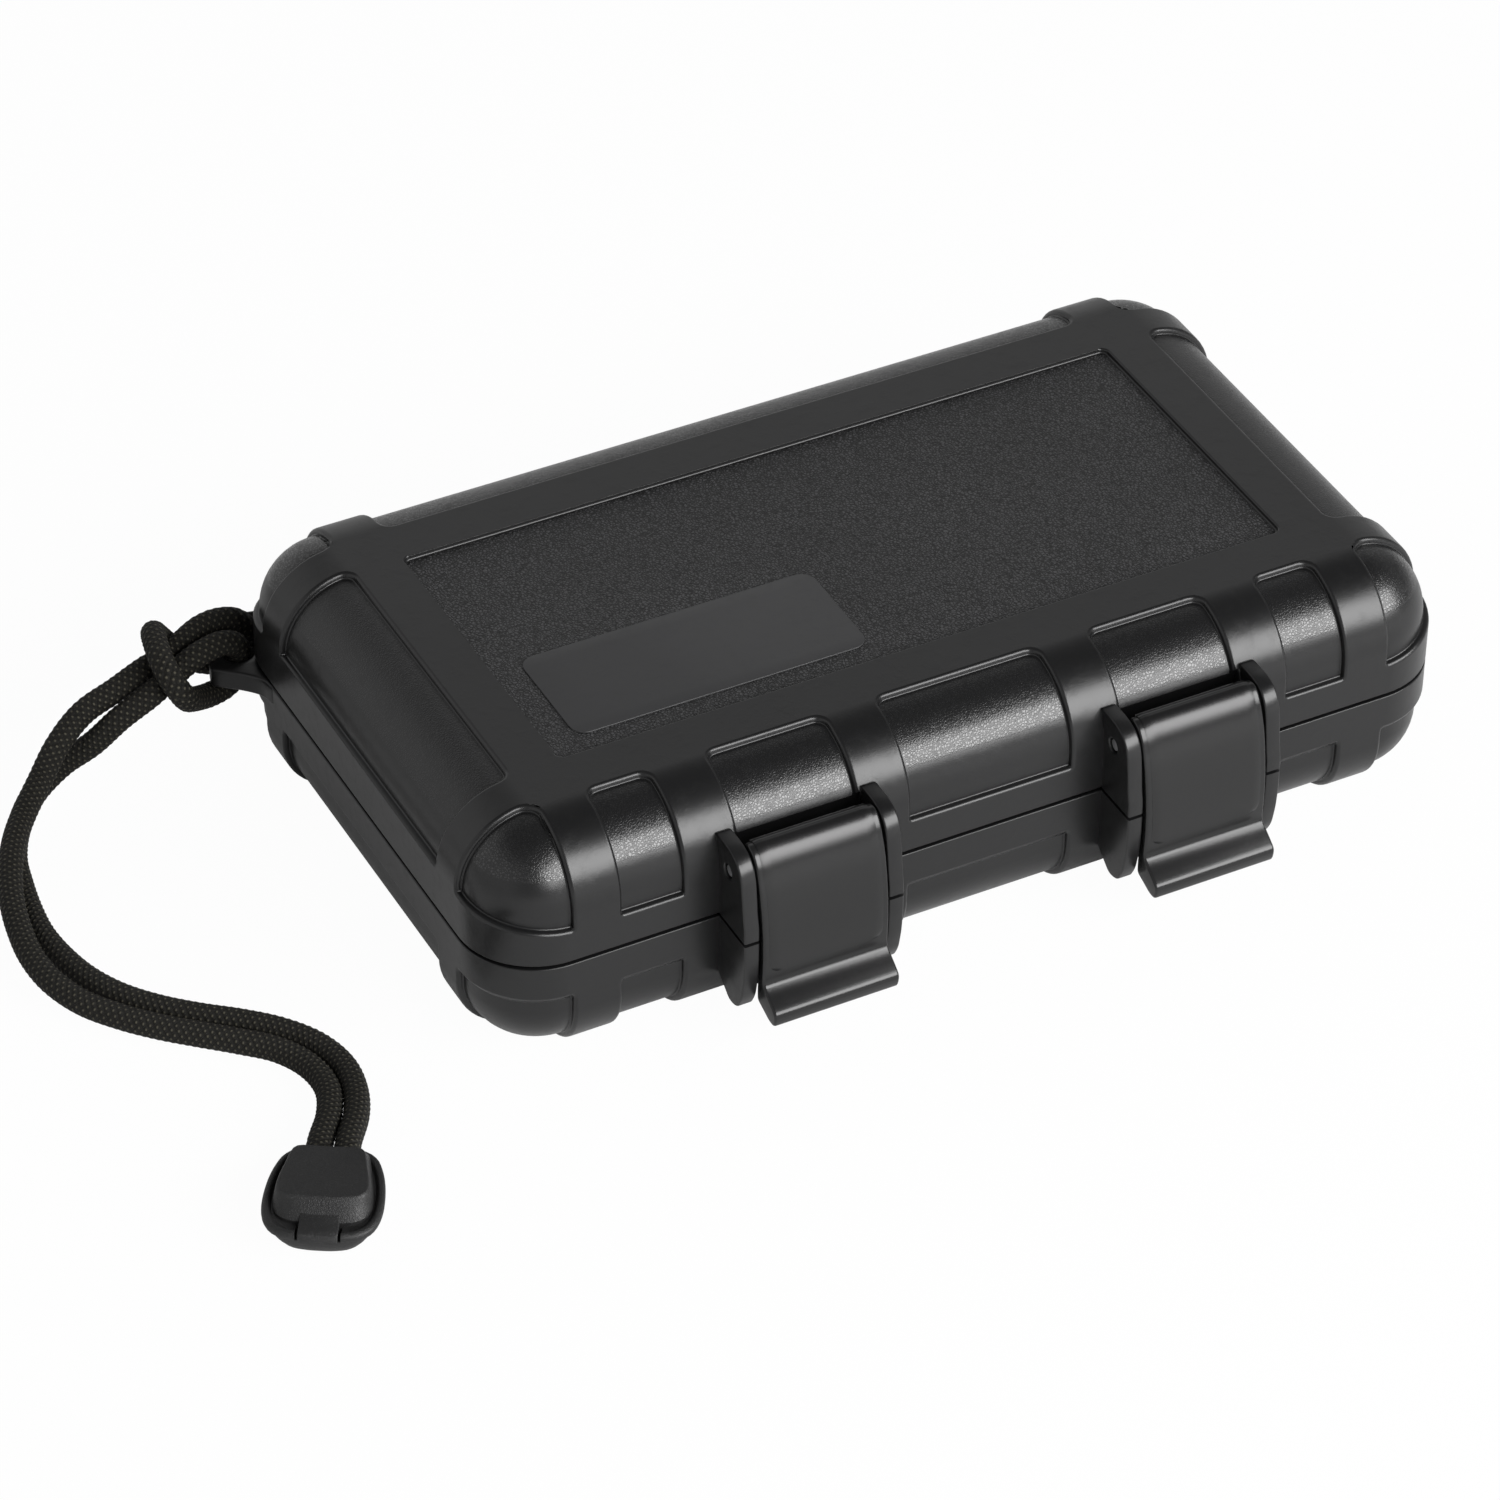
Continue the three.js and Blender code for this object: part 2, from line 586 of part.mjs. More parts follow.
function baseShell() {
  let shell = baseForm(0, 0, 0, baseEdgeRadius, outerStepCount).intersect(below(baseRim));
  shell = shell.subtract(basePockets());
  const ears = [-latchX, latchX].flatMap((x) => earPair(x)).map((ear) => ear.intersect(below(baseRim)));
  shell = joined([shell, ...ears, lanyardTab()]);
  for (const side of [-1, 1]) {
    const latchMiddle = side * latchX;
    const keeperHalf = earInner + earThickness / 2;
    shell = shell.add(rodAlongX(
      keeperRadius, latchMiddle - keeperHalf, latchMiddle + keeperHalf, keeperY, keeperZ,
    ));
    for (const hand of [-1, 1]) {
      const inner = side * hingeX + hand * (lidKnuckleWidth / 2 + fitGap);
      const outer = inner + hand * baseKnuckleWidth;
      shell = shell.add(hingeKnuckle(Math.min(inner, outer), Math.max(inner, outer), false));
    }
  }
  const cavity = baseForm(
    wallThickness, wallThickness, floorThickness, baseEdgeRadius - wallThickness, innerStepCount,
  );
  shell = shell.subtract(cavity);
  shell = shell.subtract(rimRing(grooveWidth, baseRim - grooveDepth, baseRim + overrun));
  for (const side of [-1, 1]) {
    const reach = lidKnuckleWidth / 2 + fitGap + baseKnuckleWidth + overrun;
    shell = shell.subtract(hingeBore(side * hingeX - reach, side * hingeX + reach));
  }
  return shell;
}

function rimSeal() {
  return rimRing(sealWidth, baseRim - grooveDepth + fitGap, baseRim - grooveDepth + fitGap + sealHeight);
}

// Latch section: a curved face plate that rolls round the pin at its top, a hook that catches the
// keeper bar of the base, and a lip to pull. The hook follows a circle round the pin.
function latch(centreX) {
  const faceHeight = latchFaceEndDrop - latchTopDrop;
  const facePoint = ([outShare, downShare]) => [
    -(halfWidth + outShare * latchReach), caseHeight - latchTopDrop - downShare * faceHeight,
  ];
  const outer = latchFaceShares.map(facePoint);
  const lipTopZ = caseHeight - lipTopDrop;
  const lip = [
    [-(halfWidth + lipReach - lipThickness), lipTopZ + lipThickness / 2],
    [-(halfWidth + lipReach), lipTopZ],
    [-(halfWidth + lipReach - lipThickness * lipNoseShare), lipTopZ - lipThickness],
    [-(halfWidth + latchReach + lipThickness * lipRootShare), lipTopZ - lipThickness / 2],
    [-(halfWidth + latchReach - latchThickness), lipTopZ],
  ];
  const innerShares = latchFaceShares.slice(latchInnerStartCount).reverse();
  const inner = innerShares.map(facePoint).map(([y, z]) => [y + latchThickness, z]);
  const face = polygon([
    ...outer, ...lip, ...inner, [latchPinY, latchPinZ - latchHubRadius], [latchPinY, latchPinZ],
  ]);
  const half = latchWidth / 2;
  const hub = rodAlongX(latchHubRadius, centreX - half, centreX + half, latchPinY, latchPinZ, hubSideCount);
  const hookInner = Math.hypot(latchPinZ - keeperZ, latchPinY - keeperY) + keeperRadius + fitGap;
  const ringRod = (radius, reach) => rodAlongX(
    radius, centreX - reach, centreX + reach, latchPinY, latchPinZ, hookSideCount,
  );
  const ring = ringRod(hookInner + hookThickness, half).subtract(ringRod(hookInner, half + overrun));
  const hookEnd = -(halfWidth + latchReach - latchThickness) + hookReach;
  const hook = ring.intersect(box(
    centreX - caseLength, centreX + caseLength, -(halfWidth + latchReach - latchThickness / 2), hookEnd,
    latchPinZ - hookInner - 2 * hookThickness, latchPinZ - hookInner + hookThickness,
  ));
  const bore = rodAlongX(
    latchPinRadius + fitGap, centreX - latchWidth, centreX + latchWidth, latchPinY, latchPinZ,
  );
  return joined([alongX(face, centreX - half, centreX + half), hub, hook]).subtract(bore);
}

// A pin with a small chamfer at each end
function pinAlongX(radius, x0, x1, y, z) {
  const chamfer = radius * pinChamferShare;
  const half = (x1 - x0) / 2;
  const profile = [[0, -half], [radius - chamfer, -half], [radius, -half + chamfer], [radius, half - chamfer],
    [radius - chamfer, half], [0, half]].map(([r, h]) => new THREE.Vector2(r, h));
  const geometry = new THREE.LatheGeometry(profile, roundSideCount);
  geometry.rotateZ(-Math.PI / 2);
  geometry.translate((x0 + x1) / 2, y, z);
  return solidOf(geometry);
}

function hingePin(side) {
  const half = lidKnuckleWidth / 2 + fitGap + baseKnuckleWidth;
  return pinAlongX(hingePinRadius, side * hingeX - half, side * hingeX + half, hingeY, partingHeight);
}

function latchPin(side) {
  return pinAlongX(latchPinRadius, side * latchX - earOuter, side * latchX + earOuter, latchPinY, latchPinZ);
}

// The space inside the base, less a clearance, which the foam fills
function baseFoamForm() {
  const inset = wallThickness + fitGap;
  return baseForm(inset, inset, floorThickness + fitGap, baseEdgeRadius - inset, innerStepCount);
}

function foamFloorPad() {
  const bottom = floorThickness + fitGap;
  return baseFoamForm().intersect(below(bottom + padThickness));
}

function foamWells(bottom, top) {
  const well = (x0, x1, y0, y1) => plate(
    roundedRectangle((x1 - x0) / 2, (y1 - y0) / 2, wellCornerRadius, (x0 + x1) / 2, (y0 + y1) / 2),
    bottom, top,
  );
  const round = new THREE.Shape();
  round.absarc(cableWellX, 0, cableWellRadius, 0, 2 * Math.PI);
  const microphoneEdge = microphoneWellY + microphoneWellWidth / 2;
  const packStart = microphoneEdge + packWellGap;
  const packEnd = spaceSide - wellSideMargin;
  const clipStart = wellRowEnd - clipWellLength;
  return joined([
    plate(round, bottom, top, wellStepCount),
    well(wellRowStart, wellRowEnd, microphoneEdge - microphoneWellWidth, microphoneEdge),
    well(wellRowStart, clipStart - clipWellGap, packStart, packEnd),
    well(clipStart, wellRowEnd, packStart, packEnd),
    box(cableWellX + cableWellRadius / 2, wellRowStart + wellCornerRadius, microphoneWellY - channelWidth / 2,
      microphoneWellY + channelWidth / 2, bottom, top),
  ]);
}

function foamCutLayer() {
  const bottom = floorThickness + 2 * fitGap + padThickness;
  const top = baseRim - foamTopDrop;
  const block = baseFoamForm().intersect(below(top)).intersect(above(bottom));
  return block.subtract(foamWells(bottom - overrun, top + overrun));
}

// Foam of the lid: a flat back against the roof and rows of soft bumps on the face
function lidFoam() {
  const inset = wallThickness + fitGap;
  const top = cavityRoof - fitGap;
  const across = wavesAcrossCount * stepsPerWaveCount;
  const along = wavesAlongCount * stepsPerWaveCount;
  const positions = [];
  const indices = [];
  const place = (i, j) => i * (across + 1) + j;
  const phase = (step) => Math.cos(2 * Math.PI * step / stepsPerWaveCount);
  for (const layer of [0, 1]) {
    for (let i = 0; i <= along; i += 1) {
      for (let j = 0; j <= across; j += 1) {
        const face = top - lidFoamThickness + lidFoamWave * phase(i) * phase(j) / 2;
        positions.push(
          spaceEnd * (2 * i / along - 1), spaceSide * (2 * j / across - 1), layer ? top + lidFoamWave : face,
        );
      }
    }
  }
  const layerSize = (along + 1) * (across + 1);
  const quad = (a, b, c, d) => indices.push(a, b, c, a, c, d);
  for (let i = 0; i < along; i += 1) {
    for (let j = 0; j < across; j += 1) {
      const corners = [place(i, j), place(i, j + 1), place(i + 1, j + 1), place(i + 1, j)];
      quad(...corners);
      quad(...corners.map((corner) => corner + layerSize).reverse());
    }
  }
  const wall = (a, b) => quad(a, b, b + layerSize, a + layerSize);
  for (let i = 0; i < along; i += 1) {
    wall(place(i, 0), place(i + 1, 0));
    wall(place(i + 1, across), place(i, across));
  }
  for (let j = 0; j < across; j += 1) {
    wall(place(along, j), place(along, j + 1));
    wall(place(0, j + 1), place(0, j));
  }
  const waves = new THREE.BufferGeometry();
  waves.setAttribute('position', new THREE.Float32BufferAttribute(positions, 3));
  waves.setIndex(indices);
  const space = lidForm(inset, inset, roofThickness + fitGap, lidEdgeRadius - inset, innerStepCount);
  return solidOf(waves).intersect(space);
}

// A round cord along a smooth curve through the points
function cordTube(points, steps) {
  const places = points.map((point) => new THREE.Vector3(...point));
  const curve = new THREE.CatmullRomCurve3(places, false, 'centripetal');
  const section = new THREE.Shape();
  const radius = cordDiameter / 2;
  for (let side = 0; side < cordSideCount; side += 1) {
    const angle = 2 * Math.PI * (side + 0.5) / cordSideCount;
    const corner = [radius * Math.cos(angle), radius * Math.sin(angle)];
    if (side === 0) {
      section.moveTo(...corner);
    } else {
      section.lineTo(...corner);
    }
  }
  return solidOf(new THREE.ExtrudeGeometry(section, { steps, extrudePath: curve, bevelEnabled: false }));
}

// The cord end lies with its throat towards the strands. Its own Y runs from the throat to the tip.
function throat() {
  const half = (strandSpacing + cordDiameter) / 2 + fitGap;
  const height = cordDiameter / 2 + fitGap;
  const back = -cordEndLength / 2;
  return box(
    -half, half, back - overrun, back + throatDepth, cordEndSplitHeight - height, cordEndSplitHeight + height,
  );
}

// An outline of the cord end and its mirror image at one height, drawn in by the shares of a section
function outlineAt(halfOutline, height, widthShare = 1, lengthShare = 1) {
  return halfOutline.flatMap(([acrossShare, alongShare]) => [-1, 1].map((side) => [
    side * acrossShare * widthShare * cordEndWidth / 2, alongShare * lengthShare * cordEndLength / 2, height,
  ]));
}

// The cord end's plan swept from bottom to top through the rows of a section
function cordEndBody(section, bottom, top) {
  return wasm.Manifold.hull(section.flatMap(([heightShare, widthShare, lengthShare]) => outlineAt(
    cordEndPlanShares, bottom + heightShare * (top - bottom), widthShare, lengthShare,
  )));
}

function cordEndBase() {
  return cordEndBody(bowlSectionShares, 0, cordEndSplitHeight - fitGap / 2).subtract(throat());
}

// The upper half: a flange, a raised pad with a long front slope, and a tongue that bends over the
// flange between two notches
function cordEndCover() {
  const bottom = cordEndSplitHeight + fitGap / 2;
  const height = cordEndTop - bottom;
  const pad = wasm.Manifold.hull([
    ...outlineAt(padFootShares, bottom),
    ...outlineAt(padFootShares, cordEndFlangeTop),
    ...outlineAt(padShoulderShares, bottom + height * padShoulderHeightShare),
    ...outlineAt(padTopShares, cordEndTop),
  ]);
  const tongue = alongX(polygon(tongueSideShares.map(([alongShare, heightShare]) => [
    alongShare * cordEndLength / 2, bottom + heightShare * height,
  ])), -tongueWidth / 2, tongueWidth / 2);
  const notches = [-1, 1].map((side) => {
    const near = side * tongueWidth / 2;
    const far = near + side * notchWidth;
    return box(
      Math.min(near, far), Math.max(near, far), notchStartShare * cordEndLength / 2, cordEndLength,
      bottom - overrun, cordEndTop,
    );
  });
  const flange = cordEndBody(flangeSectionShares, bottom, cordEndFlangeTop).subtract(joined(notches));
  return joined([flange, pad, tongue]).subtract(throat());
}

const microphoneCase = new THREE.Group();
microphoneCase.add(meshOf('base_shell', baseShell(), shellMaterial()));
microphoneCase.add(meshOf('lid_shell', lidShell(), shellMaterial()));
microphoneCase.add(meshOf('rim_seal', rimSeal(), sealMaterial()));
for (const [side, hand] of [[-1, 'left'], [1, 'right']]) {
  microphoneCase.add(meshOf(`latch_${hand}`, latch(side * latchX), latchMaterial()));
  microphoneCase.add(meshOf(`latch_pin_${hand}`, latchPin(side), steelMaterial()));
  microphoneCase.add(meshOf(`hinge_pin_${hand}`, hingePin(side), steelMaterial()));
}
microphoneCase.add(meshOf('foam_floor_pad', foamFloorPad(), foamMaterial()));
microphoneCase.add(meshOf('foam_cut_layer', foamCutLayer(), foamMaterial()));
microphoneCase.add(meshOf('lid_foam', lidFoam(), foamMaterial()));

const lanyard = new THREE.Group();
lanyard.position.set(tabArcX, tabArcY, 0);
lanyard.add(meshOf('lanyard_hitch', cordTube(hitchPoints, hitchStepCount), cordMaterial()));
lanyard.add(meshOf('lanyard_strand_near', cordTube(nearStrandPoints, strandStepCount), cordMaterial()));
lanyard.add(meshOf('lanyard_strand_far', cordTube(farStrandPoints, strandStepCount), cordMaterial()));

const cordEnd = new THREE.Group();
cordEnd.position.set(cordEndX, cordEndY, 0);
cordEnd.rotation.z = cordEndTurnDegrees * Math.PI / 180;
cordEnd.add(meshOf('cord_end_base', cordEndBase(), cordEndMaterial()));
cordEnd.add(meshOf('cord_end_cover', cordEndCover(), cordEndMaterial()));
lanyard.add(cordEnd);
microphoneCase.add(lanyard);

export default microphoneCase;
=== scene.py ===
"""Looks of a small watertight microphone case, built over its CAD frame. Metres, +Z up."""

import math

import bmesh
import bpy
from mathutils import Matrix, Vector


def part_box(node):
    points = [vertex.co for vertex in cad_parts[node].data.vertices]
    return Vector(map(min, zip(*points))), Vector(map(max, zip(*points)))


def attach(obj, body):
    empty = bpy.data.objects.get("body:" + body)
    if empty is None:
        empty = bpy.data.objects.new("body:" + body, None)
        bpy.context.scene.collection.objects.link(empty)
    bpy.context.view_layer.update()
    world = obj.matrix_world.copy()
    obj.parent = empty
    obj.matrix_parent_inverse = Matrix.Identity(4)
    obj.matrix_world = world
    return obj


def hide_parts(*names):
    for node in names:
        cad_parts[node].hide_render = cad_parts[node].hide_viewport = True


bl_info = {
    "name": "Microphone case",
    "version": (1, 0, 0),
    "blender": (4, 5, 0),
    "location": "3D Viewport > Sidebar > Case",
    "description": "Builds the moulded shells, latches, foam and lanyard of a microphone case",
    "category": "Add Mesh",
}

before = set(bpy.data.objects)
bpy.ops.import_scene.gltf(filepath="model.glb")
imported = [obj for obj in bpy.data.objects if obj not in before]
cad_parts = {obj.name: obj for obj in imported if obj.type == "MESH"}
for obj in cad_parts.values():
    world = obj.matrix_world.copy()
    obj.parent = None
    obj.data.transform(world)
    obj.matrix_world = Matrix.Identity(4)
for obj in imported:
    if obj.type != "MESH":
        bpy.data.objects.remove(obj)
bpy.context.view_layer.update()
MM = 0.001

# Fixed sizes of the case, in millimetres
CORNER = 14.8
WALL, LID_ROOF, BASE_FLOOR = 4.4, 3.8, 3
PANEL_X, PANEL_Y, PANEL_DEPTH = 73.5, 32.3, 1
POCKET_CORNER_X, POCKET_CORNER_Y = 82.7, 41.3
LATCH_X, LATCH_WIDTH = 38.6, 24.9
LATCH_PIN = (-59.9, 36.4)
HINGE = (60.9, 24.3)
FORM_SPARE, CUTTER_SPARE = 6, 9

# The braid, in strands round the cord and turns for each cord diameter along it
BRAID_STRANDS, BRAID_PITCH = 8, 3.5
WHITE = (1, 1, 1, 1)
CLOSE = 1e-6

# The lanyard's route, in millimetres, from the hitch at the tab down to the floor and to the cord end
NEAR_STRAND = [
    (-116, 47.7, 23.1), (-118.3, 47.3, 22.1), (-123.9, 47.6, 18.9), (-129.2, 49.1, 13.7), (-134.9, 51.1, 9.2),
    (-141.3, 49.5, 5.6), (-146.4, 44.6, 3.1), (-149.9, 37.9, 2.4), (-151.7, 30.6, 2.4), (-153, 23.1, 2.4),
    (-153.6, 15.6, 2.5), (-152.8, 8, 2.5), (-150.9, 0.7, 2.5), (-147.5, -6.1, 2.5), (-142.8, -12, 2.5),
    (-137.3, -17.2, 2.5), (-131.4, -22, 2.5), (-126, -27.3, 2.5), (-121.9, -33.6, 2.5), (-120.3, -41, 2.9),
    (-121.33, -48.39, 3.5), (-124.22, -55.32, 4.2), (-128.5, -61.54, 4.8), (-132.45, -67.99, 4.8),
]
FAR_STRAND = [
    (-114.3, 53.1, 24.5), (-116.8, 52.7, 24.1), (-122.8, 52, 22), (-129.7, 51.9, 19), (-135.7, 49.9, 15.1),
    (-140.7, 47.2, 10.3), (-145.9, 42.6, 7.7), (-150.2, 36.6, 7.4), (-153.7, 30, 7), (-156.3, 23.1, 6.2),
    (-157.9, 15.9, 5.4), (-158.6, 8.5, 4.8), (-157.7, 1.1, 4.2), (-154.8, -5.7, 3.5), (-150.3, -11.6, 3.1),
    (-145.1, -16.9, 2.8), (-139.5, -21.9, 2.7), (-133.9, -26.7, 2.6), (-128.6, -32, 2.6), (-125.6, -38.7, 2.8),
    (-125.57, -46.21, 3.5), (-128.38, -53.08, 4.2), (-132.7, -59.16, 4.8), (-136.55, -65.56, 4.8),
]
HITCH = [
    (-115.6, 47.8, 23.3), (-113.3, 48.3, 24.3), (-109.1, 48.8, 26.3), (-105.8, 49.4, 27), (-102.5, 50.1, 26.9),
    (-99.6, 50.7, 25.3), (-98.6, 51, 22.1), (-99.4, 50.6, 18.9), (-102, 49.9, 17.1), (-105.3, 49, 16.9),
    (-108.2, 47.7, 17.9), (-110.6, 46, 19.6), (-112.3, 44, 21.8), (-113.9, 43.3, 24.7), (-115, 44.8, 27.4),
    (-115.2, 47.7, 29), (-114.7, 51, 29.5), (-113.9, 54.3, 29.4), (-112.8, 57.2, 28), (-111.3, 58.9, 25.5),
    (-109.6, 59.9, 22.8), (-107.7, 60.2, 20), (-105.2, 59.6, 17.8), (-102.2, 58.6, 16.6), (-99.1, 57.4, 16.5),
    (-96.2, 56.2, 17.8), (-94.8, 55.6, 20.7), (-95.1, 55.5, 24), (-97.3, 56, 26.5), (-100.6, 56.4, 27.2),
    (-104, 56.1, 27), (-107.2, 55.1, 26.3), (-111.4, 53.5, 24.9), (-113.9, 53.1, 24.5),
]

# Outlines in Y and Z, in millimetres
EAR = [
    (-54.8, 41.8), (-56.9, 41.8), (-60.2, 41.7), (-62.6, 41.0), (-64.2, 39.4), (-65.1, 37.2), (-65.7, 33.0),
    (-66.1, 29.4), (-66.6, 27.2), (-66.7, 20.4), (-66.3, 15.5), (-65.4, 10.9), (-63.9, 8.2), (-62.4, 7.6),
    (-60.6, 7.6), (-54.8, 12.4),
]
LATCH = [
    (-59.3, 40.6), (-59.6, 41.3), (-61.3, 41.8), (-62.8, 40.9), (-64.1, 39.0), (-65.2, 36.2), (-66.0, 33.4),
    (-66.8, 29.0), (-67.3, 24.8), (-67.5, 20.3), (-67.4, 16.6), (-67.3, 14.6), (-68.4, 13.5), (-70.3, 12.2),
    (-72.0, 10.9), (-71.9, 9.3), (-71.4, 7.9), (-69.6, 7.9), (-67.0, 8.9), (-65.0, 9.6), (-64.9, 12.0),
    (-65.1, 16.0), (-65.1, 20.3), (-64.9, 24.8), (-64.4, 29.0), (-63.5, 33.0), (-61.0, 33.3), (-59.9, 33.2),
    (-58.0, 34.0), (-57.0, 35.6), (-57.0, 37.4), (-58.0, 39.2),
]
HOOK = [(-65.6, 15.6), (-65.6, 12.6), (-61.0, 12.4), (-60.5, 12.9), (-60.5, 14.4), (-61.2, 15.2)]

# The cord end's outlines, right halves only, in shares of its half width and half length
HALF_WIDTH, HALF_LENGTH = 10.5, 11.4
CORD_END_PLAN = [
    (0, 1), (0.34, 0.99), (0.62, 0.94), (0.83, 0.81), (0.94, 0.63), (0.99, 0.4), (1, 0.16), (0.98, -0.12),
    (0.94, -0.36), (0.88, -0.57), (0.79, -0.77), (0.64, -0.91), (0.42, -0.98), (0, -1),
]
PAD_FOOT = [
    (0, 0.7), (0.33, 0.69), (0.55, 0.66), (0.7, 0.57), (0.79, 0.42), (0.82, 0.25), (0.8, 0), (0.75, -0.28),
    (0.68, -0.65), (0.62, -0.83), (0, -0.84),
]
PAD_SHOULDER = [
    (0, 0.47), (0.43, 0.45), (0.67, 0.38), (0.76, 0.26), (0.75, 0.02), (0.68, -0.3), (0.6, -0.62),
    (0.53, -0.7), (0, -0.71),
]
PAD_TOP = [
    (0, 0.42), (0.4, 0.4), (0.62, 0.35), (0.7, 0.25), (0.7, 0), (0.64, -0.3), (0.57, -0.57), (0.5, -0.64),
    (0, -0.65),
]

# The cord end's tongue from the side, in shares of the half length and of its own height
TONGUE = [
    (0.4, 0), (0.4, 0.8), (0.7, 0.42), (0.86, 0.385), (0.94, 0.35), (0.99, 0.25), (1.015, 0.08), (0.98, 0),
]

# Rings of the cord end: height in millimetres, share of the width, share of the length
BOWL_ROWS = [
    (0, 0.48, 0.62), (0.1, 0.5, 0.645), (0.28, 0.57, 0.71), (0.7, 0.64, 0.77), (1.5, 0.74, 0.84),
    (2.2, 0.79, 0.875), (3.0, 0.84, 0.91), (3.8, 0.866, 0.928), (4.4, 0.878, 0.938), (4.6, 0.877, 0.937),
    (4.65, 0.87, 0.93),
]
FLANGE_ROWS = [
    (4.95, 0.965, 0.975), (5.0, 0.98, 0.99), (5.4, 0.996, 0.998), (5.8, 1.0, 1.0), (6.1, 0.993, 0.994),
    (6.35, 0.975, 0.978), (6.52, 0.95, 0.955), (6.58, 0.92, 0.93), (6.5, 0.893, 0.905), (6.28, 0.872, 0.886),
    (6.02, 0.86, 0.874), (5.85, 0.84, 0.855),
]


# Sizes and colours a user would change

class CaseSizes(bpy.types.PropertyGroup):
    """Main sizes of the case."""
    length: bpy.props.FloatProperty(
        name="Length", description="Outside length", default=0.196, unit="LENGTH")
    width: bpy.props.FloatProperty(
        name="Width", description="Outside width of the shells", default=0.1138, unit="LENGTH")
    height: bpy.props.FloatProperty(
        name="Height", description="Outside height", default=0.0488, unit="LENGTH")
    lid_height: bpy.props.FloatProperty(
        name="Lid height", description="Height of the lid above the parting", default=0.0245, unit="LENGTH")
    parting_gap: bpy.props.FloatProperty(
        name="Parting gap", description="Open line between the shells", default=0.0007, unit="LENGTH")
    lid_edge: bpy.props.FloatProperty(
        name="Lid edge radius", description="Radius of the lid's top edges", default=0.0145, unit="LENGTH")
    base_edge: bpy.props.FloatProperty(
        name="Base edge radius", description="Radius of the base's lower edges", default=0.013, unit="LENGTH")
    pocket_depth: bpy.props.FloatProperty(
        name="Pocket depth", description="Depth of the pockets between the ribs", default=0.0012, unit="LENGTH")
    fillet: bpy.props.FloatProperty(
        name="Fillet", description="Small radius on moulded edges", default=0.0008, unit="LENGTH")
    cord: bpy.props.FloatProperty(
        name="Cord", description="Diameter of the lanyard cord", default=0.0046, unit="LENGTH")


class CaseColours(bpy.types.PropertyGroup):
    """Colours of the finishes."""
    shell: bpy.props.FloatVectorProperty(
        name="Shell", description="Moulded shells", subtype="COLOR", size=4,
        default=(0.0078, 0.0078, 0.0081, 1))
    latch: bpy.props.FloatVectorProperty(
        name="Latch", description="Latches", subtype="COLOR", size=4, default=(0.0088, 0.0088, 0.009, 1))
    cord: bpy.props.FloatVectorProperty(
        name="Cord", description="Braided lanyard", subtype="COLOR", size=4,
        default=(0.016, 0.0147, 0.0107, 1))
    cord_end: bpy.props.FloatVectorProperty(
        name="Cord end", description="Moulded cord end", subtype="COLOR", size=4,
        default=(0.0115, 0.0115, 0.0117, 1))
    foam: bpy.props.FloatVectorProperty(
        name="Foam", description="Foam inside", subtype="COLOR", size=4, default=(0.03, 0.03, 0.032, 1))
    seal: bpy.props.FloatVectorProperty(
        name="Seal", description="Rim seal", subtype="COLOR", size=4, default=(0.035, 0.035, 0.036, 1))
    steel: bpy.props.FloatVectorProperty(
        name="Steel", description="Pins", subtype="COLOR", size=4, default=(0.022, 0.022, 0.023, 1))


def sizes():
    return bpy.context.scene.case_sizes


def colours():
    return bpy.context.scene.case_colours


# Modelling helpers

def linked(name, data):
    """A new object in the scene."""
    obj = bpy.data.objects.new(name, data)
    bpy.context.scene.collection.objects.link(obj)
    return obj


def only(*objects):
    """Leave edit mode and select just these objects, the last one active."""
    if bpy.context.object and bpy.context.object.mode != "OBJECT":
        bpy.ops.object.mode_set(mode="OBJECT")
    bpy.ops.object.select_all(action="DESELECT")
    for obj in objects:
        obj.select_set(True)
    bpy.context.view_layer.objects.active = objects[-1]


def settle(obj):
    """Put the object's place, turn and scale into its mesh."""
    only(obj)
    bpy.ops.object.transform_apply(location=True, rotation=True, scale=True)
    return obj


def choose_all(obj, kind="VERT"):
    """In edit mode, select the whole mesh."""
    only(obj)
    bpy.ops.object.mode_set(mode="EDIT")
    bpy.ops.mesh.select_mode(type=kind)
    bpy.ops.mesh.select_all(action="SELECT")


def done():
    bpy.ops.object.mode_set(mode="OBJECT")


def face_outwards(obj):
    choose_all(obj, "FACE")
    bpy.ops.mesh.normals_make_consistent(inside=False)
    done()
    return obj


def weld(obj, distance):
    choose_all(obj)
    bpy.ops.mesh.remove_doubles(threshold=distance)
    done()
    return obj


def slice_off(obj, point, direction, above):
    """Take away what lies above a plane given in metres, or below it, and close the cut."""
    choose_all(obj)
    bpy.ops.mesh.bisect(
        plane_co=point, plane_no=direction, use_fill=True, clear_outer=above, clear_inner=not above)
    done()
    return obj


def cut_below(obj, height):
    return slice_off(obj, (0, 0, height * MM), (0, 0, 1), False)


def cut_above(obj, height):
    return slice_off(obj, (0, 0, height * MM), (0, 0, 1), True)


def upright(points):
    first, last = points
    return abs(first.x - last.x) < CLOSE and abs(first.y - last.y) < CLOSE


def at_level(points, level):
    """Whether all the points lie at this height in millimetres."""
    return all(abs(point.z - level * MM) < CLOSE for point in points)


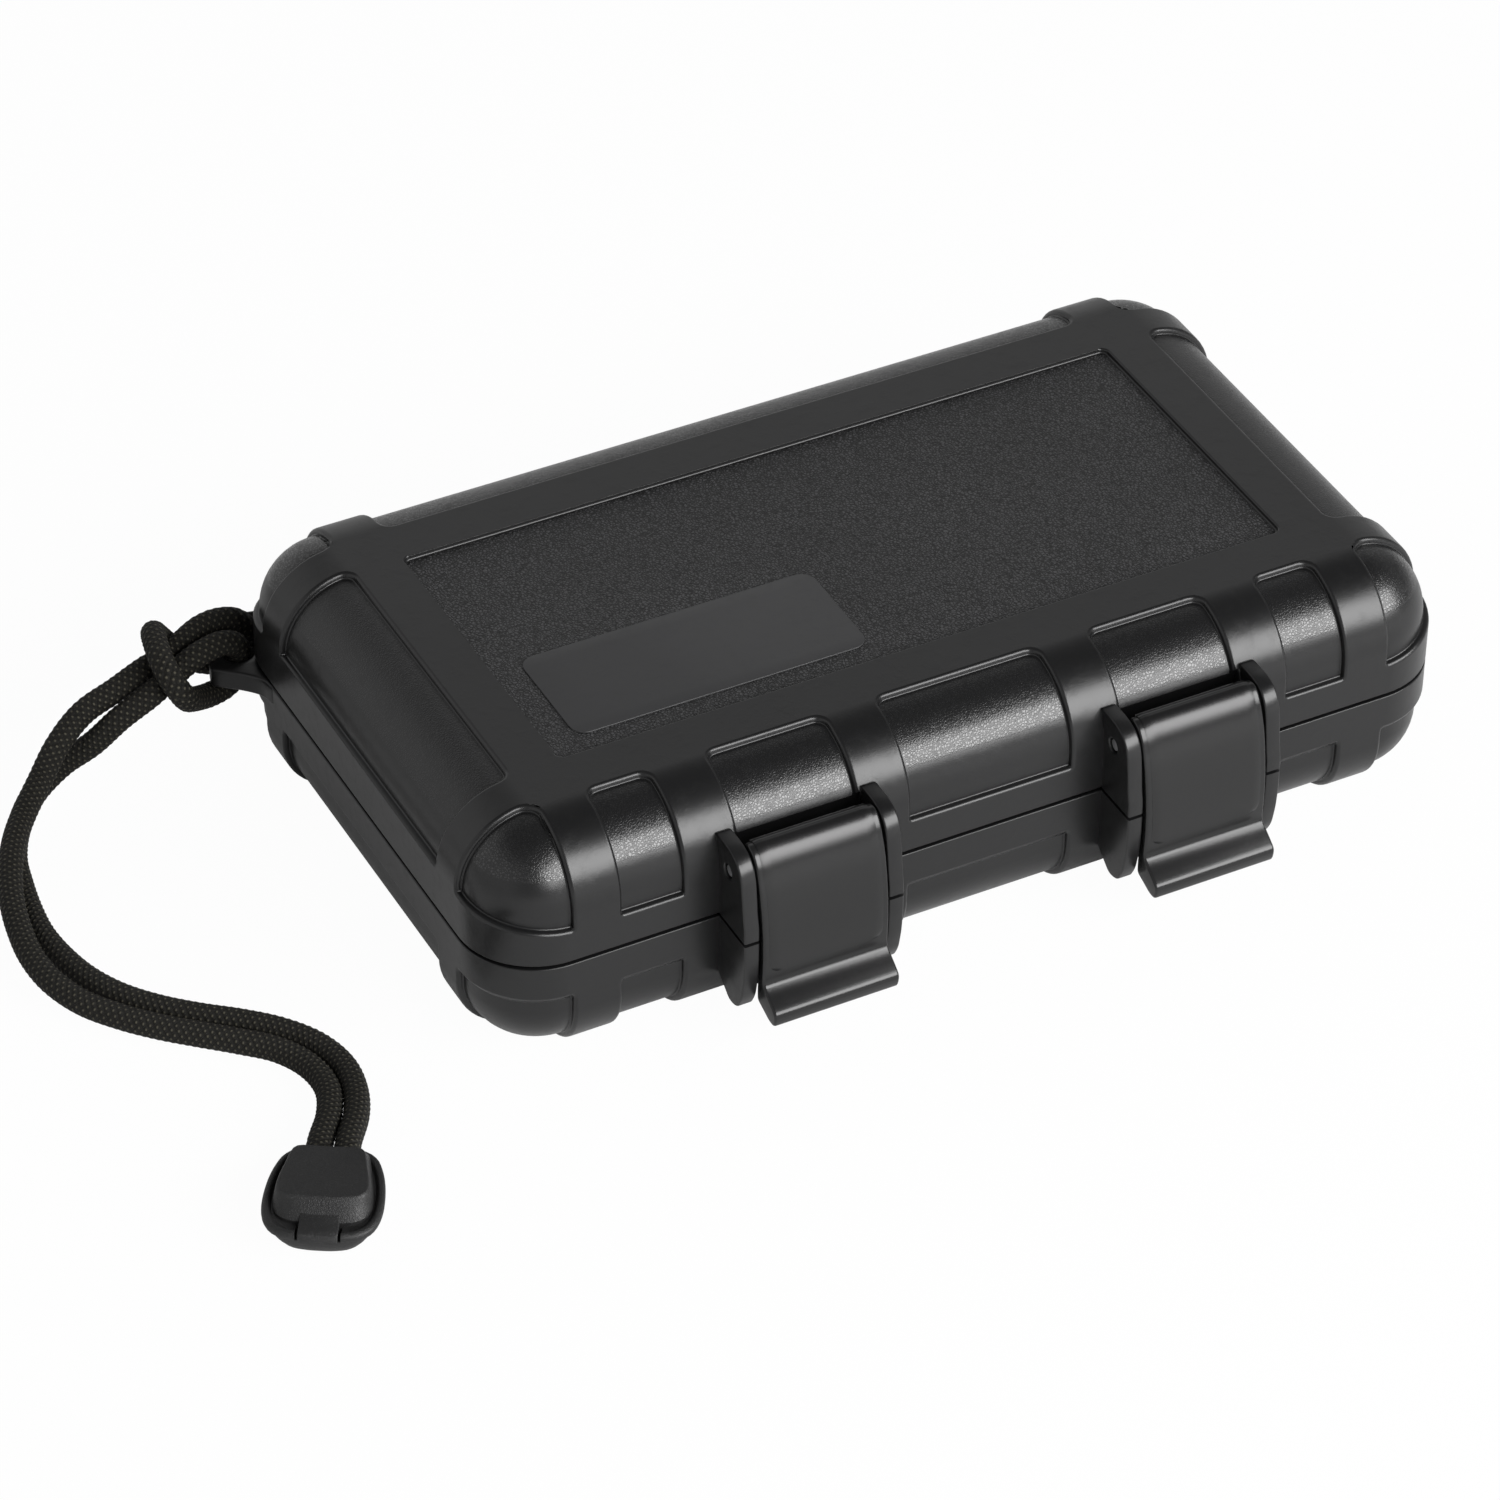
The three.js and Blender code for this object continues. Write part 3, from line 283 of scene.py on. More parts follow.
def bevel_where(obj, test, radius, segments):
    """Round the edges whose two points pass the test, by a radius in millimetres."""
    only(obj)
    bpy.ops.object.mode_set(mode="EDIT")
    bpy.ops.mesh.select_mode(type="EDGE")
    bpy.ops.mesh.select_all(action="DESELECT")
    bpy.ops.object.mode_set(mode="OBJECT")
    mesh = obj.data
    for edge in mesh.edges:
        edge.select = test([mesh.vertices[i].co for i in edge.vertices])
    bpy.ops.object.mode_set(mode="EDIT")
    bpy.ops.mesh.bevel(
        offset_type="OFFSET", offset=radius * MM, segments=segments, profile=0.5, affect="EDGES",
        clamp_overlap=False)
    done()
    return obj


def combine(obj, other, operation="DIFFERENCE"):
    """Boolean of two closed pieces. The second one is used up."""
    only(obj)
    modifier = obj.modifiers.new("boolean", "BOOLEAN")
    modifier.operation = operation
    modifier.solver = "EXACT"
    modifier.object = other
    bpy.ops.object.modifier_apply(modifier=modifier.name)
    bpy.data.objects.remove(other)
    return obj


def join(*objects):
    only(*reversed(objects))
    bpy.ops.object.join()
    return bpy.context.object


def fillet_edges(obj, width, segments, hollow=1.0, sharp=32):
    """A small radius on every edge sharper than an angle. Hollow edges get a share of it."""
    only(obj)
    mesh = bmesh.new()
    mesh.from_mesh(obj.data)
    weight = mesh.edges.layers.float.new("bevel_weight_edge")
    for edge in mesh.edges:
        if edge.is_manifold and edge.calc_face_angle() > math.radians(sharp):
            edge[weight] = 1.0 if edge.is_convex else hollow
    mesh.to_mesh(obj.data)
    mesh.free()
    modifier = obj.modifiers.new("fillet", "BEVEL")
    modifier.width = width
    modifier.segments = segments
    modifier.limit_method = "WEIGHT"
    modifier.miter_outer = "MITER_ARC"
    modifier.use_clamp_overlap = False
    modifier.loop_slide = False
    bpy.ops.object.modifier_apply(modifier=modifier.name)
    return obj


def smooth(obj, angle=35):
    only(obj)
    bpy.ops.object.shade_smooth_by_angle(angle=math.radians(angle))
    return obj


def with_extras(obj, extras):
    """Join smoothly shaded extra forms to a piece."""
    for extra in extras:
        smooth(extra)
    return join(obj, *extras)


def block(name, x, y, z):
    """A box between the given limits, in millimetres."""
    bpy.ops.object.select_all(action="DESELECT")
    middle = [(low + high) / 2 * MM for low, high in (x, y, z)]
    size = [(high - low) * MM for low, high in (x, y, z)]
    bpy.ops.mesh.primitive_cube_add(size=1, location=middle, scale=size)
    obj = bpy.context.object
    obj.name = name
    return settle(obj)


def prism(name, x, y, z, corner=2.2):
    """A box with rounded upright edges."""
    return bevel_where(block(name, x, y, z), upright, corner, 6)


def rounded_form(name, half_x, half_y, z, corner, edge, at_top, corner_steps=16, edge_steps=14):
    """A box with rounded upright edges and one rounded rim, at its top or at its bottom."""
    obj = block(name, (-half_x, half_x), (-half_y, half_y), z)
    bevel_where(obj, upright, corner, corner_steps)
    level = z[1] if at_top else z[0]
    bevel_where(obj, lambda points: at_level(points, level), edge, edge_steps)
    return weld(obj, 0.0001)


def drum(name, radius, length, middle, turn=(0, 0, 0), sides=32):
    """A cylinder, upright before its turn, in millimetres."""
    bpy.ops.object.select_all(action="DESELECT")
    bpy.ops.mesh.primitive_cylinder_add(
        vertices=sides, radius=radius * MM, depth=length * MM, location=[v * MM for v in middle],
        rotation=turn)
    obj = bpy.context.object
    obj.name = name
    return settle(obj)


def rod(name, radius, x0, x1, y, z, sides=32, edge=0.15):
    """A round bar along X, with small chamfers at its ends, in millimetres."""
    obj = drum(name, radius, x1 - x0, ((x0 + x1) / 2, y, z), (0, math.pi / 2, 0), sides)
    return bevel_where(obj, lambda points: abs(points[0].x - points[1].x) < 1e-7, edge, 2)


def outline_plate(name, outlines, thickness, edge, place, edge_steps=2):
    """A plate cut to an outline drawn in millimetres, with rounded edges, set in place by a matrix."""
    curve = bpy.data.curves.new(name, "CURVE")
    curve.dimensions = "2D"
    curve.fill_mode = "BOTH"
    curve.extrude = thickness * MM / 2 - edge * MM
    curve.bevel_depth = edge * MM
    curve.bevel_resolution = edge_steps
    curve.offset = -edge * MM
    for outline in outlines:
        spline = curve.splines.new("POLY")
        spline.points.add(len(outline) - 1)
        spline.use_cyclic_u = True
        for point, (u, v) in zip(spline.points, outline):
            point.co = (u * MM, v * MM, 0, 1)
    only(linked(name, curve))
    bpy.ops.object.convert(target="MESH")
    obj = bpy.context.object
    obj.matrix_world = place
    settle(obj)
    weld(obj, 0.000005)
    return face_outwards(obj)


def across(x):
    """Place for an outline drawn in Y and Z, standing across the X axis at x."""
    return Matrix(((0, 0, 1, x * MM), (1, 0, 0, 0), (0, 1, 0, 0), (0, 0, 0, 1)))


def flat_at(z):
    return Matrix.Translation((0, 0, z * MM))


def polar(cx, cy, radius, degrees):
    angle = math.radians(degrees)
    return cx + radius * math.cos(angle), cy + radius * math.sin(angle)


def arc(cx, cy, radius, first, last, steps):
    """Points on an arc, with angles in degrees."""
    return [polar(cx, cy, radius, first + (last - first) * i / steps) for i in range(steps + 1)]


def circle(cx, cy, radius, steps=28):
    turns = [2 * math.pi * i / steps for i in range(steps)]
    return [(cx + radius * math.cos(turn), cy + radius * math.sin(turn)) for turn in turns]


def rounded_rectangle(half_x, half_y, radius, steps=8, cx=0.0, cy=0.0):
    points = []
    for sx, sy, start in ((1, 1, 0), (-1, 1, 90), (-1, -1, 180), (1, -1, 270)):
        x, y = cx + sx * (half_x - radius), cy + sy * (half_y - radius)
        points += arc(x, y, radius, start, start + 90, steps)
    return points


def softened(points, radius, steps):
    """The outline with each corner cut to an arc of about this radius, limited by its sides."""
    result = []
    count = len(points)
    for i in range(count):
        here = Vector(points[i])
        back = Vector(points[i - 1]) - here
        ahead = Vector(points[(i + 1) % count]) - here
        reach = min(radius, back.length * 0.48, ahead.length * 0.48)
        start = here + back.normalized() * reach
        end = here + ahead.normalized() * reach
        for k in range(steps + 1):
            t = k / steps
            point = start * (1 - t) ** 2 + here * 2 * t * (1 - t) + end * t ** 2
            result.append((point.x, point.y))
    return result


def span_points(a, b, c, d, steps):
    """Points on a smooth curve from b up to c, for points at uneven distances."""
    before, here, after = ((q - p).length ** 0.5 for p, q in ((a, b), (b, c), (c, d)))
    first = ((b - a) / before - (c - a) / (before + here)) * here + c - b
    last = ((d - c) / after - (d - b) / (here + after)) * here + c - b
    square = 3 * (c - b) - 2 * first - last
    cube = 2 * (b - c) + first + last
    return [b + (first + (square + cube * t) * t) * t for t in (k / steps for k in range(steps))]


def extended(points):
    """The points with one more at each end, for a curve that runs from the first to the last."""
    path = [Vector(point) for point in points]
    return [2 * path[0] - path[1]] + path + [2 * path[-1] - path[-2]]


def closed_mesh(name, vertices, faces):
    mesh = bpy.data.meshes.new(name)
    mesh.from_pydata([tuple(v) for v in vertices], [], faces)
    return face_outwards(linked(name, mesh))


def bands(count, size):
    """Faces between neighbouring rings of points, each ring of the same size."""
    faces = []
    for i in range(count - 1):
        for k in range(size):
            m = (k + 1) % size
            faces.append((i * size + k, i * size + m, (i + 1) * size + m, (i + 1) * size + k))
    return faces


def mark_faces(obj, name, values):
    layer = obj.data.attributes.new(name, "FLOAT", "FACE")
    layer.data.foreach_set("value", values)


def mirrored(limits, side):
    """Limits on the right, or the same ones on the left."""
    return limits if side > 0 else (-limits[1], -limits[0])


def finish_piece(obj, name, look, body, replaced, smoothing=35):
    """Name, shade, dress and seat a piece."""
    obj.name = name
    obj.data.name = name
    if smoothing:
        smooth(obj, smoothing)
    obj.data.materials.clear()
    obj.data.materials.append(finishes()[look])
    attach(obj, body)
    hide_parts(*replaced)
    return obj


# Shader nodes

class Wiring:
    """Adds and links the nodes of one tree. Values are numbers, colours or other nodes' outputs."""

    def __init__(self, tree):
        self.nodes = tree.nodes
        self.links = tree.links

    def feed(self, socket, value):
        if isinstance(value, bpy.types.NodeSocket):
            self.links.new(value, socket)
        else:
            socket.default_value = value

    def add(self, kind, inputs=(), **settings):
        """Add a node, make its settings, feed its inputs and give its outputs."""
        node = self.nodes.new(kind)
        for key, value in settings.items():
            setattr(node, key, value)
        for key, value in dict(inputs).items():
            self.feed(node.inputs[key], value)
        return node.outputs

    def math(self, operation, *values):
        return self.add("ShaderNodeMath", enumerate(values), operation=operation)[0]

    def remap(self, value, low, high, to_low=0.0, to_high=1.0):
        limits = {"Value": value, "From Min": low, "From Max": high, "To Min": to_low, "To Max": to_high}
        return self.add("ShaderNodeMapRange", limits, interpolation_type="SMOOTHSTEP")["Result"]

    def noise(self, position, scale, detail, roughness=0.5):
        inputs = {"Vector": position, "Scale": scale, "Detail": detail, "Roughness": roughness}
        return self.add("ShaderNodeTexNoise", inputs)

    def bump(self, height, distance, onto=None):
        inputs = {"Strength": 1.0, "Distance": distance, "Height": height}
        if onto is not None:
            inputs["Normal"] = onto
        return self.add("ShaderNodeBump", inputs)["Normal"]

    def group(self, tree, **inputs):
        return self.add("ShaderNodeGroup", inputs, node_tree=tree)

    def tinted(self, colour, factor):
        """The colour, made lighter or darker by a factor around one."""
        inputs = {"Factor": 1.0, 6: colour, 7: factor}
        return self.add("ShaderNodeMix", inputs, data_type="RGBA", blend_type="MULTIPLY")[2]


def new_group(name, inputs, outputs):
    """A node group with number outputs. An input is a number with this default, or a vector for None."""
    tree = bpy.data.node_groups.new(name, "ShaderNodeTree")
    for label, value in inputs.items():
        kind = "NodeSocketVector" if value is None else "NodeSocketFloat"
        socket = tree.interface.new_socket(name=label, in_out="INPUT", socket_type=kind)
        if value is not None:
            socket.default_value = value
    for label in outputs:
        tree.interface.new_socket(name=label, in_out="OUTPUT", socket_type="NodeSocketFloat")
    wires = Wiring(tree)
    return tree, wires, wires.add("NodeGroupInput"), tree.nodes.new("NodeGroupOutput").inputs


def grain_group():
    """Pebbled mould texture: rounded cells with fine noise. Position is in metres, Cell in millimetres."""
    tree, wires, given, results = new_group("moulded_grain", {"Position": None, "Cell": 0.6}, ["Height"])
    position = given["Position"]
    scale = wires.math("DIVIDE", 1000.0, given["Cell"])
    warp = wires.noise(position, wires.math("MULTIPLY", scale, 0.5), 2)["Color"]
    reach = (0.0006, 0.0006, 0.0006)
    shift = wires.add("ShaderNodeVectorMath", {0: warp, 1: reach, 2: position}, operation="MULTIPLY_ADD")[0]
    cells = wires.add("ShaderNodeTexVoronoi", {"Vector": shift, "Scale": scale}, feature="DISTANCE_TO_EDGE")
    fine = wires.noise(position, wires.math("MULTIPLY", scale, 2.4), 3)["Fac"]
    domes = wires.remap(cells["Distance"], 0.0, 0.32)
    wires.feed(results["Height"], wires.math("MULTIPLY_ADD", fine, 0.5, domes))
    return tree


def variation_group():
    """Slow change of tone over a moulding, and small rubbed spots."""
    tree, wires, given, results = new_group(
        "moulding_variation", {"Position": None, "Amount": 0.1}, ["Tone", "Rub"])
    slow = wires.noise(given["Position"], 28, 3)["Fac"]
    quick = wires.noise(given["Position"], 420, 4, 0.6)["Fac"]
    change = wires.math("SUBTRACT", slow, 0.5)
    wires.feed(results["Tone"], wires.math("MULTIPLY_ADD", change, given["Amount"], 1.0))
    wires.feed(results["Rub"], wires.remap(quick, 0.45, 0.75))
    return tree


def braid_group():
    """Diamond braid from a tube's UV map: U runs once round the cord, V along it in cord diameters."""
    tree, wires, given, results = new_group(
        "cord_braid", {"UV": None, "Strands": 8.0, "Pitch": 1.0}, ["Height", "Thread"])
    split = wires.add("ShaderNodeSeparateXYZ", {0: given["UV"]})
    around = wires.math("MULTIPLY", split["X"], given["Strands"])
    along = wires.math("MULTIPLY", split["Y"], given["Pitch"])
    one_way = wires.math("ADD", around, along)
    other_way = wires.math("SUBTRACT", around, along)
    ridges = []
    for turn in (one_way, other_way):
        part = wires.math("FRACT", turn)
        part = wires.math("SUBTRACT", part, 0.5)
        part = wires.math("ABSOLUTE", part)
        ridges.append(wires.math("MULTIPLY_ADD", part, -2.0, 1.0))
    height = wires.math("MULTIPLY", *ridges)
    wires.feed(results["Height"], wires.math("POWER", height, 0.5))
    wires.feed(results["Thread"], wires.math("SINE", wires.math("MULTIPLY", one_way, 31.4)))
    return tree


def material_start(name):
    """The wiring of a new material, its shader's inputs and the position on the object."""
    material = bpy.data.materials.new(name)
    material.use_nodes = True
    wires = Wiring(material.node_tree)
    return wires, wires.nodes["Principled BSDF"].inputs, wires.add("ShaderNodeTexCoord")["Object"]


def shell_material(groups, colour):
    """Satin moulding, grained where the mesh's own attributes say."""
    wires, shader, position = material_start("moulded_shell")
    tone = wires.group(groups["variation"], Position=position, Amount=0.5)
    panel_grain = wires.group(groups["grain"], Position=position, Cell=0.6)["Height"]
    pocket_grain = wires.group(groups["grain"], Position=position, Cell=0.5)["Height"]
    panel = wires.add("ShaderNodeAttribute", attribute_name="panel_grain")["Fac"]
    pocket = wires.add("ShaderNodeAttribute", attribute_name="pocket_grain")["Fac"]
    split = wires.add("ShaderNodeSeparateXYZ", {0: position})
    # Only the part of a pocket near the top of the lid is grained
    upper = wires.remap(split["Z"], 0.0408, 0.0413)
    pocket_mask = wires.math("MULTIPLY", pocket, upper)
    panel_tone = wires.remap(panel, 0.1, 0.4)
    panel_mask = wires.remap(panel, 0.6, 0.9)
    panel_height = wires.math("MULTIPLY", panel_grain, panel_mask)
    pocket_height = wires.math("MULTIPLY", pocket_grain, pocket_mask)
    normal = wires.bump(panel_height, 0.00009)
    normal = wires.bump(pocket_height, 0.00002, normal)
    normal = wires.bump(tone["Rub"], 0.00001, normal)
    wires.feed(shader["Normal"], normal)
    rough = wires.math("MULTIPLY_ADD", panel_tone, 0.14, 0.3)
    rough = wires.math("MULTIPLY_ADD", tone["Rub"], 0.05, rough)
    wires.feed(shader["Roughness"], rough)
    # The grain's peaks glint under a thin coat, most in the front and back pockets
    glint = wires.remap(pocket_grain, 0.7, 0.98, 0.05, 0.85)
    sideways = wires.math("ABSOLUTE", split["Y"])
    lit_sides = wires.math("MULTIPLY", pocket_mask, wires.remap(sideways, 0.038, 0.042, 0.2, 1.0))
    wires.feed(shader["Coat Weight"], wires.math("MULTIPLY", glint, lit_sides))
    shader["Coat Roughness"].default_value = 0.2
    # The panel and its plate are lighter than the rest, and painted shade makes the panel's grain pits darker
    # than its peaks
    tone_and_painted_pit_shade = wires.math("MULTIPLY_ADD", panel_tone, 2.9, 1.0)
    # Painted shade: the colour follows the panel's grain height, darker in its pits
    pitted = wires.math("MULTIPLY_ADD", panel_height, 1.6, 1.0)
    pitted = wires.math("MULTIPLY_ADD", panel_mask, -1.35, pitted)
    tone_and_painted_pit_shade = wires.math("MULTIPLY", tone_and_painted_pit_shade, pitted)
    tone_and_painted_pit_shade = wires.math("MULTIPLY", tone_and_painted_pit_shade, tone["Tone"])
    wires.feed(shader["Base Color"], wires.tinted(colour, tone_and_painted_pit_shade))


def plain_material(groups, name, colour, roughness, worn, rub, change=0.4, cell=None, grain=0.0, metallic=0.0):
    """One colour with rubbed spots. A cell size in millimetres gives it grain of this depth in metres."""
    wires, shader, position = material_start(name)
    tone = wires.group(groups["variation"], Position=position, Amount=change)
    normal = wires.bump(tone["Rub"], rub)
    if cell:
        pebbles = wires.group(groups["grain"], Position=position, Cell=cell)
        normal = wires.bump(pebbles["Height"], grain, normal)
    wires.feed(shader["Normal"], normal)
    wires.feed(shader["Roughness"], wires.math("MULTIPLY_ADD", tone["Rub"], worn, roughness))
    wires.feed(shader["Base Color"], wires.tinted(colour, tone["Tone"]))
    shader["Metallic"].default_value = metallic


def foam_material(colour):
    """Open-cell foam: dark, matt, pitted."""
    wires, shader, position = material_start("case_foam")
    pits = wires.add("ShaderNodeTexVoronoi", {"Vector": position, "Scale": 1500})["Distance"]
    cloud = wires.noise(position, 60, 4)["Fac"]
    # Painted shade darkens the foam's pits, and a slow cloud varies the tone
    shade = wires.remap(pits, 0.0, 0.6, 0.45, 1.15)
    shade = wires.math("MULTIPLY", shade, wires.remap(cloud, 0.3, 0.7, 0.85, 1.1))
    wires.feed(shader["Base Color"], wires.tinted(colour, shade))
    wires.feed(shader["Normal"], wires.bump(pits, 0.0004))
    shader["Roughness"].default_value = 0.95
    shader["Specular IOR Level"].default_value = 0.2
    shader["Sheen Weight"].default_value = 0.2


def cord_material(groups, colour):
    """Braided nylon over the cord's own UV map."""
    wires, shader, position = material_start("braided_cord")
    own = wires.add("ShaderNodeUVMap", uv_map="UVMap")["UV"]
    braid = wires.group(groups["braid"], UV=own, Strands=BRAID_STRANDS, Pitch=BRAID_PITCH)
    fuzz = wires.noise(position, 2600, 3)["Fac"]
    normal = wires.bump(braid["Height"], 0.0003)
    normal = wires.bump(braid["Thread"], 0.00003, normal)
    normal = wires.bump(fuzz, 0.00012, normal)
    wires.feed(shader["Normal"], normal)
    # Painted highlight on the braid's ridge tops and painted shade in its grooves, broken up by the fuzz
    shade = wires.remap(braid["Height"], 0.62, 0.94, 0.5, 5.5)
    shade = wires.math("MULTIPLY", shade, wires.remap(fuzz, 0.3, 0.7, 0.8, 1.2))
    wires.feed(shader["Base Color"], wires.tinted(colour, shade))
    shader["Roughness"].default_value = 0.7
    shader["Specular IOR Level"].default_value = 0.3


def finishes():
    """All node groups and materials, made once and looked up by name after that."""
    if "moulded_shell" in bpy.data.materials:
        return bpy.data.materials
    tints = colours()
    groups = {"grain": grain_group(), "variation": variation_group(), "braid": braid_group()}
    shell_material(groups, tints.shell)
    plain_material(groups, "moulded_latch", tints.latch, 0.25, 0.015, 0.00000225)
    plain_material(groups, "moulded_cord_end", tints.cord_end, 0.5, 0.06, 0.000009, cell=0.35, grain=0.00003)
    plain_material(groups, "seal_rubber", tints.seal, 0.7, 0.06, 0.000009, cell=0.3, grain=0.00001)
    plain_material(groups, "pin_steel", tints.steel, 0.28, 0.12, 0.000008, change=0.3, metallic=1.0)
    foam_material(tints.foam)
    cord_material(groups, tints.cord)
    return bpy.data.materials


# Stage and cords

class CASE_OT_stage(bpy.types.Operator):
    """Set the camera, the pale floor, the world and the lamp"""
    bl_idname = "case.stage"
    bl_label = "Stage"

    def execute(self, context):
        scene = context.scene
        scene.view_settings.view_transform = "Standard"
        lens = bpy.data.cameras.new("camera")
        lens.lens = 152.14
        lens.sensor_width = 36
        lens.clip_end = 20
        camera = linked("camera", lens)
        camera.matrix_world = Matrix((
            (0.88779, 0.28301, -0.36296, -0.4447),
            (-0.46017, 0.56089, -0.68822, -0.8078),
            (0.00880, 0.77801, 0.62819, 0.7447),
            (0, 0, 0, 1),
        ))
        scene.camera = camera
        self.make_world(scene)
        self.make_floor()
        self.make_lamp()
        return {"FINISHED"}

    def make_world(self, scene):
        """White behind the object. A pale screen at the back left lights it, less from above and in front."""
        world = bpy.data.worlds.new("studio")
        scene.world = world
        world.use_nodes = True
        world.node_tree.nodes.clear()
        wires = Wiring(world.node_tree)
        direction = wires.add("ShaderNodeTexCoord")["Generated"]
        back_left = (-0.643, 0.766, 0)
        inputs = {0: direction, 1: back_left}
        toward = wires.add("ShaderNodeVectorMath", inputs, operation="DOT_PRODUCT")["Value"]
        height = wires.add("ShaderNodeSeparateXYZ", {0: direction})["Z"]
        screen = wires.remap(toward, -0.35, 0.3, 0.2, 0.66)
        above = wires.remap(height, 0.55, 0.85, 1.0, 0.17)
        lit = wires.math("MULTIPLY", screen, above)
        room = wires.add("ShaderNodeBackground", {"Color": WHITE, "Strength": lit})[0]
        seen = wires.add("ShaderNodeBackground", {"Color": WHITE, "Strength": 1.0})[0]
        from_camera = wires.add("ShaderNodeLightPath")["Is Camera Ray"]
        mix = wires.add("ShaderNodeMixShader", {0: from_camera, 1: room, 2: seen})[0]
        wires.add("ShaderNodeOutputWorld", {"Surface": mix})

    def make_floor(self):
        """Paper that looks white to the camera and lightens what mirrors it a little."""
        bpy.ops.object.select_all(action="DESELECT")
        bpy.ops.mesh.primitive_plane_add(size=8, location=(0, 0, -0.0001))
        floor = settle(bpy.context.object)
        floor.name = "floor"
        material = bpy.data.materials.new("pale_floor")
        material.use_nodes = True
        material.node_tree.nodes.clear()
        wires = Wiring(material.node_tree)
        rays = wires.add("ShaderNodeLightPath")
        seen = wires.math("MULTIPLY", rays["Is Camera Ray"], 0.97)
        reflected = wires.math("MAXIMUM", rays["Is Glossy Ray"], rays["Is Transmission Ray"])
        reflected = wires.math("MULTIPLY", reflected, 0.06)
        share = wires.math("MAXIMUM", seen, reflected)
        paper = wires.add("ShaderNodeBsdfDiffuse", {"Color": (0.76, 0.76, 0.76, 1)})[0]
        glow = wires.add("ShaderNodeEmission", {"Color": WHITE, "Strength": 1.0})[0]
        mix = wires.add("ShaderNodeMixShader", {0: share, 1: paper, 2: glow})[0]
        wires.add("ShaderNodeOutputMaterial", {"Surface": mix})
        floor.data.materials.append(material)

    def make_lamp(self):
        """One wide softbox in front, aimed at the case."""
        box = bpy.data.lights.new("front_softbox", "AREA")
        box.shape = "RECTANGLE"
        box.size = 1.38
        box.size_y = 0.64
        box.energy = 26
        lamp = linked("front_softbox", box)
        place, target = Vector((0.42, -0.97, 0.61)), Vector((0, 0, 0.03))
        lamp.location = place
        lamp.rotation_euler = (target - place).to_track_quat("-Z", "Y").to_euler()


def spaced_points(points, spacing):
    """Evenly spaced points, in metres, on a smooth curve through the given ones in millimetres."""
    ends = extended(points)
    dense = []
    for i in range(1, len(ends) - 2):
        dense += span_points(*ends[i - 1:i + 3], 24)
    dense.append(ends[-2])
    lengths = [0.0]
    for first, second in zip(dense, dense[1:]):
        lengths.append(lengths[-1] + (second - first).length)
    count = max(2, round(lengths[-1] / spacing))
    result = []
    at = 0
    for i in range(count + 1):
        goal = lengths[-1] * i / count
        while at < len(lengths) - 2 and lengths[at + 1] < goal:
            at += 1
        span = lengths[at + 1] - lengths[at]
        share = (goal - lengths[at]) / span if span else 0.0
        result.append(dense[at].lerp(dense[at + 1], min(1.0, max(0.0, share))) * MM)
    return result, lengths[-1] * MM


def braided_tube(name, points, diameter, sides=32, spacing=0.33):
    """A closed tube along the points, with shallow braid ridges in its mesh and a UV map that follows it."""
    path, length = spaced_points(points, spacing)
    step = length / (len(path) - 1)
    side = None
    vertices = []
    for i, centre in enumerate(path):
        tangent = (path[min(i + 1, len(path) - 1)] - path[max(i - 1, 0)]).normalized()
        side = side or tangent.orthogonal().normalized()
        side = (side - tangent * side.dot(tangent)).normalized()
        up = tangent.cross(side)
        run = BRAID_PITCH * i * step / diameter
        for k in range(sides):
            angle = 2 * math.pi * k / sides
            turn = BRAID_STRANDS * k / sides
            ridge_a = 1 - abs(((turn + run) % 1) - 0.5) * 2
            ridge_b = 1 - abs(((turn - run) % 1) - 0.5) * 2
            reach = diameter / 2 * (0.975 + 0.075 * math.sqrt(ridge_a * ridge_b))
            vertices.append(centre + (side * math.cos(angle) + up * math.sin(angle)) * reach)
    faces = bands(len(path), sides)
    start, last = len(vertices), (len(path) - 1) * sides
    vertices += [path[0], path[-1]]
    for k in range(sides):
        m = (k + 1) % sides
        faces.append((start, m, k))
        faces.append((start + 1, last + k, last + m))
    obj = closed_mesh(name, vertices, faces)
    mesh = obj.data
    layer = mesh.uv_layers.new(name="UVMap")
    for polygon in mesh.polygons:
        columns = {vertex % sides for vertex in polygon.vertices}
        seam = sides - 1 in columns and 0 in columns
        for j in polygon.loop_indices:
            row, column = divmod(mesh.loops[j].vertex_index, sides)
            around = 1.0 if seam and column == 0 else column / sides
            layer.data[j].uv = (around, min(row, len(path) - 1) * step / diameter)
    return obj, path, length


class CASE_OT_lanyard(bpy.types.Operator):
    """Make the two braided strands and the hitch at the tab"""
    bl_idname = "case.lanyard"
    bl_label = "Lanyard"

    def execute(self, context):
        look, slot, diameter = "braided_cord", "cord_black", sizes().cord
        hitch, path, length = braided_tube("hitch", HITCH, diameter)
        finish_piece(hitch, "lanyard_hitch_braid", look, "base", ["lanyard_hitch"], 60)
        for name, points in (("near", NEAR_STRAND), ("far", FAR_STRAND)):
            strand, path, length = braided_tube("strand_" + name, points, diameter)
            finish_piece(strand, "lanyard_braid_" + name, look, "base", ["lanyard_strand_" + name], 60)
        return {"FINISHED"}


# Shells

